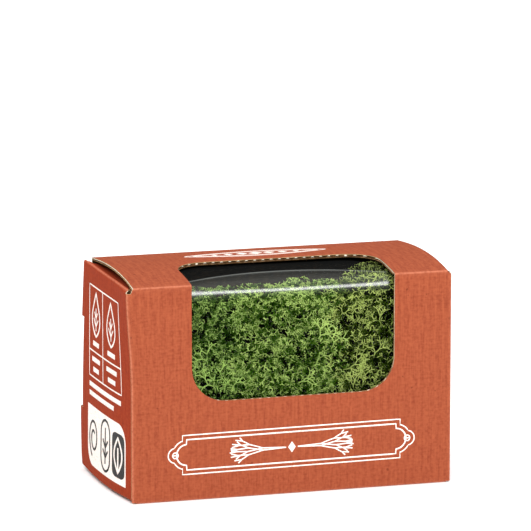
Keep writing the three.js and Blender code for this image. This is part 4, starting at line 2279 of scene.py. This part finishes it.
DEEP = Habit("deep_sprigs", 3, 2 * MM, 0.87, 0.32 * MM, 0.21 * MM, (34, 70), 0.4, 0.9)
CURLY = Habit("curly_sprigs", 3, 1.7 * MM, 0.9, 0.2 * MM, 0.16 * MM, (32, 66), 0.3, 0.9, True)
AIRY = Habit("airy_sprigs", 3, 2.1 * MM, 0.89, 0.24 * MM, 0.17 * MM, (30, 62), 0.25, 0.7, True)
WIRY = Habit("wiry_sprigs", 3, 2.6 * MM, 0.88, 0.27 * MM, 0.18 * MM, (28, 58), 0.2, 0.55, True)
STEMS = Habit("stems", 4, 3.6 * MM, 0.86, 0.36 * MM, 0.21 * MM, (24, 50), 0.12, 0.45)


@dataclass(frozen=True)
class Stem:
    """Where a long forked stem stands: its foot, its lean to the right and its size."""

    x: float
    z: float
    lean: float
    size: float
    y: float = -29.4 * MM


def stems(*rows: tuple[float, ...]) -> tuple[Stem, ...]:
    """Stems from rows of numbers.

    Args:
        rows: Each stem's X, Z, lean and size, and its Y where it stands back, in mm and degrees.

    Returns:
        The stems.
    """
    made = []
    for x, z, lean, size, *back in rows:
        made.append(Stem(x * MM, z * MM, lean, size, *(y * MM for y in back)))
    return tuple(made)


LEFT_STEMS = stems(
    (-30, 41.6, -6, 1), (-26.6, 41.4, 8, 1), (-33.2, 52.5, 0, 0.8), (-22.5, 41, 5, 0.6),
    (-38, 47, -15, 0.6),
)
MIDDLE_STEMS = stems(
    (3.5, 43.4, 70, 0.8), (8.7, 49.5, 70, 0.85), (17, 56, 30, 0.8), (12, 60, 10, 0.75),
    (1, 73, -22, 0.75, -22), (4, 73.5, -6, 0.8, -20), (7, 73.5, 10, 0.8, -21), (9.5, 73, 26, 0.7, -22),
    (5, 74, 4, 0.75, -17),
)
RIGHT_STEMS = stems(
    (22, 47.5, 80, 0.8), (26.5, 39.2, -20, 0.7), (29.5, 39.8, 25, 0.7), (34.5, 51.5, 12, 0.8),
    (37.4, 64, -4, 0.8), (20, 67, 20, 0.6), (31, 70, -16, 0.9, -16), (34, 71, 4, 0.95, -12),
    (38, 71, 8, 0.95, -9), (36, 70, -6, 0.9, -18), (40, 70, 10, 0.9, -14), (41, 70, -4, 0.9, -6),
    (35, 73, -12, 0.9, -20), (38.5, 74, 6, 0.9, -21), (42, 74, -5, 0.9, -19), (44.5, 73, 8, 0.9, -15),
    (37, 74, 14, 0.85, -14), (43, 74.5, -14, 0.85, -11), (45.5, 74, -8, 0.85, -7), (39, 75, 0, 0.8, -3),
    (46, 70, -3, 0.9, -21), (43, 75, 10, 0.8, -1), (36, 75, -8, 0.85, -5), (41, 76, 3, 0.85, -6),
    (45, 75.5, -2, 0.85, -4), (34, 74, -16, 0.8, -9),
)


@dataclass(frozen=True)
class Growth:
    """A pass of sprigs over a cushion."""

    habit: Habit
    apart: float
    most: float
    lean: float
    lift: float
    least: float
    on_pane: bool = False


@dataclass
class Cushion:
    """One cushion of moss: a lumpy core, coloured near black as painted shade for the tangle inside, and
    the sprigs that stand out of it.
    """

    SILL: ClassVar[float] = 35 * MM
    SHOWN: ClassVar[float] = 46 * MM
    SHOWN_BACK: ClassVar[float] = 6 * MM
    HIDDEN: ClassVar[float] = 0.3
    PANE_DEPTH: ClassVar[float] = 0.4 * MM
    LUMPS: ClassVar[tuple[Flat, ...]] = ((9 * MM, 0.05), (4 * MM, 0.03))
    STEM_FOOT: ClassVar[float] = 0.45

    name: str
    low: Vector
    high: Vector
    back: float
    passes: tuple[Growth, ...]
    finish: Material
    core_finish: Material
    stems: tuple[Stem, ...]
    tufts: tuple[Tuft, ...] = ()
    squareness: float = 9.0
    cuts: int = 22
    seed: int = 1
    hollow_depth: float = 9 * MM

    def core(self) -> Mesh:
        """The core, with how densely sprigs stand on each point.

        Returns:
            Its mesh.
        """
        shape = bmesh.new()
        bmesh.ops.create_cube(shape, size=2)
        bmesh.ops.subdivide_edges(shape, edges=shape.edges, cuts=self.cuts, use_grid_fill=True)
        middle, half = (self.low + self.high) / 2, (self.high - self.low) / 2
        for vertex in shape.verts:
            way = vertex.co.normalized()
            swell = sum(abs(part) ** self.squareness for part in way) ** (-1 / self.squareness)
            spot = Vector(w * h for w, h in zip(way * swell, half))
            lumps = sum(high * noise.noise((spot + middle) / wide) for wide, high in self.LUMPS)
            spot = middle + spot * (1 + lumps)
            if way.z > 0.4:
                for tuft in self.tufts:
                    far = math.hypot(spot.x - tuft.x, spot.y - tuft.y) / tuft.width
                    spot.z += tuft.rise * math.exp(-far * far)
            if spot.y < middle.y:
                spot.y += self.hollow_depth * max(hollow.share(spot) for hollow in HOLLOWS)
            vertex.co = spot
        bmesh.ops.recalc_face_normals(shape, faces=shape.faces)
        shape.normal_update()
        density = [self.density(vertex) for vertex in shape.verts]
        mesh = bpy.data.meshes.new(f"{self.name}_core")
        shape.to_mesh(mesh)
        shape.free()
        set_attribute(mesh, DENSITY, "FLOAT", density)
        mesh.materials.append(self.core_finish)
        mesh.shade_smooth()
        return mesh

    def density(self, vertex: bmesh.types.BMVert) -> float:
        """How densely sprigs stand on a point of the core, by the way that it faces.

        Args:
            vertex: The point.

        Returns:
            The share of the full density.
        """
        facing, place = vertex.normal, vertex.co
        shown = 1.0 if self.SILL < place.z and abs(place.x) < self.SHOWN else self.HIDDEN
        front = max(-facing.y, 0) * shown
        above = max(facing.z, 0) * (shown if place.y < self.SHOWN_BACK else self.HIDDEN)
        twice = self.low.x + self.high.x
        side = math.copysign(1, twice) if abs(twice) > 5 * MM else 0
        share = max(0.03, front, above, self.HIDDEN * facing.x * side)
        if facing.y < 0:
            share *= 1 - 0.95 * max(hollow.share(place) for hollow in HOLLOWS)
        return share

    def build(self, scatter: ScatterTree, libraries: dict[str, SprigLibrary], replaced: str) -> None:
        """Grows the cushion.

        Args:
            scatter: The tree that spreads the sprigs.
            libraries: The sprigs of each habit, by its name.
            replaced: The CAD node that the core stands for.
        """
        core = self.core()
        hold = Hold(self.back, self.tufts)
        for number, growth in enumerate(self.passes):
            values = {
                "Sprigs": libraries[growth.habit.name].collection,
                "Apart": growth.apart,
                "Most": growth.most,
                "Lean": growth.lean,
                "Lift": growth.lift,
                "Least": growth.least,
                "Seed": self.seed * 10 + number,
                "Finish": self.finish,
            }
            mesh = scatter.applied(self.pane(hold) if growth.on_pane else core, values)
            hold.press(mesh)
            piece_of(f"{self.name}_{growth.habit.name}_{number}", mesh, Body.CARTON, Slot.MOSS)
        hold.press(core)
        piece_of(f"{self.name}_core", core, Body.CARTON, Slot.MOSS, replaced)
        stems = self.stem_mesh()
        hold.press(stems)
        piece_of(f"{self.name}_stems", stems, Body.CARTON, Slot.MOSS)

    def pane(self, hold: Hold) -> Mesh:
        """A sheet that follows the film, a little inside it, from the sill to where the film turns level.

        Args:
            hold: The room that the moss is pressed into.

        Returns:
            The sheet, with how densely sprigs stand on each point.
        """
        low, high = max(self.low.x, -self.SHOWN), min(self.high.x, self.SHOWN)
        columns = spaced(low, high, 2 * MM)
        points: list[Vector] = []
        bend_y = hold.FRONT + hold.CORNER
        radius = hold.CORNER - self.PANE_DEPTH
        for x in columns:
            bend_z = float(hold.top(x, bend_y)) - hold.CORNER
            rise = bend_z - self.SILL
            line = [(hold.FRONT + self.PANE_DEPTH, self.SILL + rise * k / 16) for k in range(17)]
            turns = [math.radians(12 * k) for k in range(1, 7)]
            line += [(bend_y - radius * math.cos(t), bend_z + radius * math.sin(t)) for t in turns]
            points += [Vector((x, y, z)) for y, z in line]
        count = len(points) // len(columns)
        density = [1 - 0.97 * max(hollow.share(place) for hollow in HOLLOWS) for place in points]
        starts = [i * count + j for i in range(len(columns) - 1) for j in range(count - 1)]
        faces = [(a, a + count, a + count + 1, a + 1) for a in starts]
        mesh = mesh_of(f"{self.name}_pane", points, faces)
        set_attribute(mesh, DENSITY, "FLOAT", density)
        return mesh

    def stem_mesh(self) -> Mesh:
        """The long stems that stand against the film.

        Returns:
            Their mesh.
        """
        points: list[Vector] = []
        faces: list[tuple[int, ...]] = []
        shares: list[float] = []
        for number, stem in enumerate(self.stems):
            sprig = FlatSprig(STEMS, 100 * self.seed + number)
            turn = Matrix.Rotation(math.radians(stem.lean), 4, "Y") @ Matrix.Scale(stem.size, 4)
            place = Matrix.Translation((stem.x, stem.y, stem.z)) @ turn
            first = len(points)
            points += [place @ point for point in sprig.points]
            faces += [tuple(first + i for i in face) for face in sprig.faces]
            shares += [self.STEM_FOOT + (1 - self.STEM_FOOT) * share for share in sprig.shares]
        mesh = mesh_of(f"{self.name}_stems", points, faces, self.finish)
        set_attribute(mesh, TIP, "FLOAT", shares)
        set_attribute(mesh, SHADE, "FLOAT", [1.0] * len(points))
        mesh.shade_smooth()
        return mesh


class MossBed:
    """The three cushions and the stems that stand against the film."""

    def __init__(self, finishes: Finishes) -> None:
        """Plans the cushions.

        Args:
            finishes: The built finishes.
        """
        deep = Growth(DEEP, 2.3 * MM, 2.2e5, 0.8, 1.5 * MM, 0.7)
        fine = (deep, Growth(CURLY, 1.3 * MM, 7e5, 0.35, -4.5 * MM, 0.8, True))
        mixed = (deep, Growth(AIRY, 1.45 * MM, 6e5, 0.35, -4.5 * MM, 0.8, True))
        wiry = (deep, Growth(WIRY, 2 * MM, 3.4e5, 0.35, -4.5 * MM, 0.8, True))
        low, front, back, high = 8 * MM, -24 * MM, 20 * MM, 69 * MM
        core, green, between = finishes.moss_core, finishes.fine_moss, finishes.mixed_moss
        pale = finishes.pale_moss
        edges = [x * MM for x in (-54, -20.5, 19.5, 54)]
        corners = [
            (Vector((left, front, low)), Vector((right, back + more, high)), back + room)
            for left, right, more, room in zip(edges, edges[1:], (0, 2 * MM, 0), (6 * MM, 9 * MM, 6 * MM))
        ]
        middle, right = Tuft(5 * MM, -20 * MM, 6 * MM, 5 * MM), Tuft(41 * MM, -8 * MM, 14 * MM, 10 * MM)
        self.cushions = (
            Cushion("moss_left", *corners[0], fine, green, core, LEFT_STEMS, seed=1),
            Cushion("moss_middle", *corners[1], mixed, between, core, MIDDLE_STEMS, (middle,), seed=2),
            Cushion("moss_right", *corners[2], wiry, pale, core, RIGHT_STEMS, (right,), seed=3),
        )

    def build(self) -> None:
        """Grows the moss."""
        scatter = ScatterTree()
        libraries = {habit.name: SprigLibrary(habit) for habit in (DEEP, CURLY, AIRY, WIRY)}
        for cushion in self.cushions:
            cushion.build(scatter, libraries, cushion.name)
        for library in libraries.values():
            library.clear()


class Studio:
    """The camera, the floor and the light."""

    CAMERA = Vector((-0.49981, -1.70166, 0.44073))
    AIM = Vector((0.2757, 0.9410, -0.1968))
    LENS = 310.6
    FLOOR = 12.0

    def __init__(self, finishes: Finishes) -> None:
        """Keeps the finishes."""
        self.finishes = finishes

    def camera(self) -> None:
        """Sets the camera at the photograph's viewing angle."""
        data = bpy.data.cameras.new("camera")
        data.lens = self.LENS
        data.sensor_width = 36
        data.clip_end = 50
        camera = linked("camera", data)
        camera.location = self.CAMERA
        camera.rotation_euler = self.AIM.to_track_quat("-Z", "Y").to_euler()
        bpy.context.scene.camera = camera

    def floor(self) -> None:
        """Lays the floor."""
        half = self.FLOOR
        corners = [Vector((x * half, y * half, 0)) for x, y in ((-1, -1), (1, -1), (1, 1), (-1, 1))]
        floor = linked("floor", mesh_of("floor", corners, [(0, 1, 2, 3)], self.finishes.floor))

    def area(self, name: str, place: Vector, target: Vector, size: Flat, power: float) -> Object:
        """Hangs a soft lamp.

        Args:
            name: Its name.
            place: Where it hangs.
            target: What it faces.
            size: Its width and height.
            power: Its power in watts.

        Returns:
            The lamp.
        """
        data = bpy.data.lights.new(name, "AREA")
        data.shape = "RECTANGLE"
        data.size, data.size_y = size
        data.energy = power
        lamp = linked(name, data)
        lamp.location = place
        lamp.rotation_euler = (target - place).to_track_quat("-Z", "Y").to_euler()
        return lamp

    def sheen(self, film: Object) -> None:
        """Hangs the strip lamp that only the film mirrors.

        Args:
            film: The film.
        """
        lit = bpy.data.collections.new("mirrors_the_strip")
        lit.objects.link(film)
        place = Vector((0.345, CARTON.front - 0.5, 1.2))
        lamp = self.area("strip_light", place, place - Vector((0, 0, 1)), (0.4, 0.68), 370)
        lamp.light_linking.receiver_collection = lit
        lamp.data.cycles.max_bounces = 0

    def world(self) -> None:
        """Lights the sky above and keeps the horizon dark, as a studio with a lit ceiling has it."""
        world = bpy.data.worlds.new("studio")
        bpy.context.scene.world = world
        world.use_nodes = True
        maker = NodeMaker(world.node_tree)
        where = maker.node("ShaderNodeTexCoord").outputs["Generated"]
        high = maker.node("ShaderNodeSeparateXYZ", {0: where}).outputs["Z"]
        lit = maker.spread(high, 0.3, 0.62, (0.02, 1.62))
        sky = maker.node("ShaderNodeBackground", {"Color": (1, 1, 1, 1), "Strength": lit})
        maker.node("ShaderNodeOutputWorld", {"Surface": sky.outputs[0]})

    def build(self) -> None:
        """Sets up everything round the object."""
        self.camera()
        self.floor()
        self.world()
        middle = Vector((0, 0, 0.045))
        self.area("front_softbox", Vector((-0.3, -2.1, 1.2)), middle, (1.6, 1.0), 45)
        scene = bpy.context.scene
        scene.view_settings.view_transform = "Standard"
        scene.view_settings.look = "None"


def main() -> None:
    """Builds the carton, its film, its print, the moss and the studio."""
    logging.basicConfig(level=logging.INFO, format="%(name)s: %(message)s")
    finishes = Finishes()
    studio = Studio(finishes)
    studio.build()
    fluting = FlutingTree()
    lines = LineTree()
    sleeve = Sleeve(finishes, fluting)
    sleeve.build()
    flaps = {side: EndFlap(finishes, fluting, side) for side in Side}
    for side, flap in flaps.items():
        flap.build()
        SideCrease(finishes, side, flap).build()
    studio.sheen(WindowFilm(finishes).build())
    front = Print(sleeve.sheet, Body.CARTON, lines, lambda z: sleeve.path.nearest(CARTON.front, z))
    FrontPlaque(finishes, front).build()
    top = Print(sleeve.sheet, Body.CARTON, lines, lambda y: sleeve.path.nearest(y, CARTON.top_height(y)))
    TopOrnament(finishes, top).build()
    left = flaps[Side.LEFT]
    end = Print(left.sheet, Body.END_LEFT, lines, lambda z: left.path.nearest(0, z))
    EndPrint(finishes, end).build()
    MossBed(finishes).build()


if __name__ == "__main__":
    main()
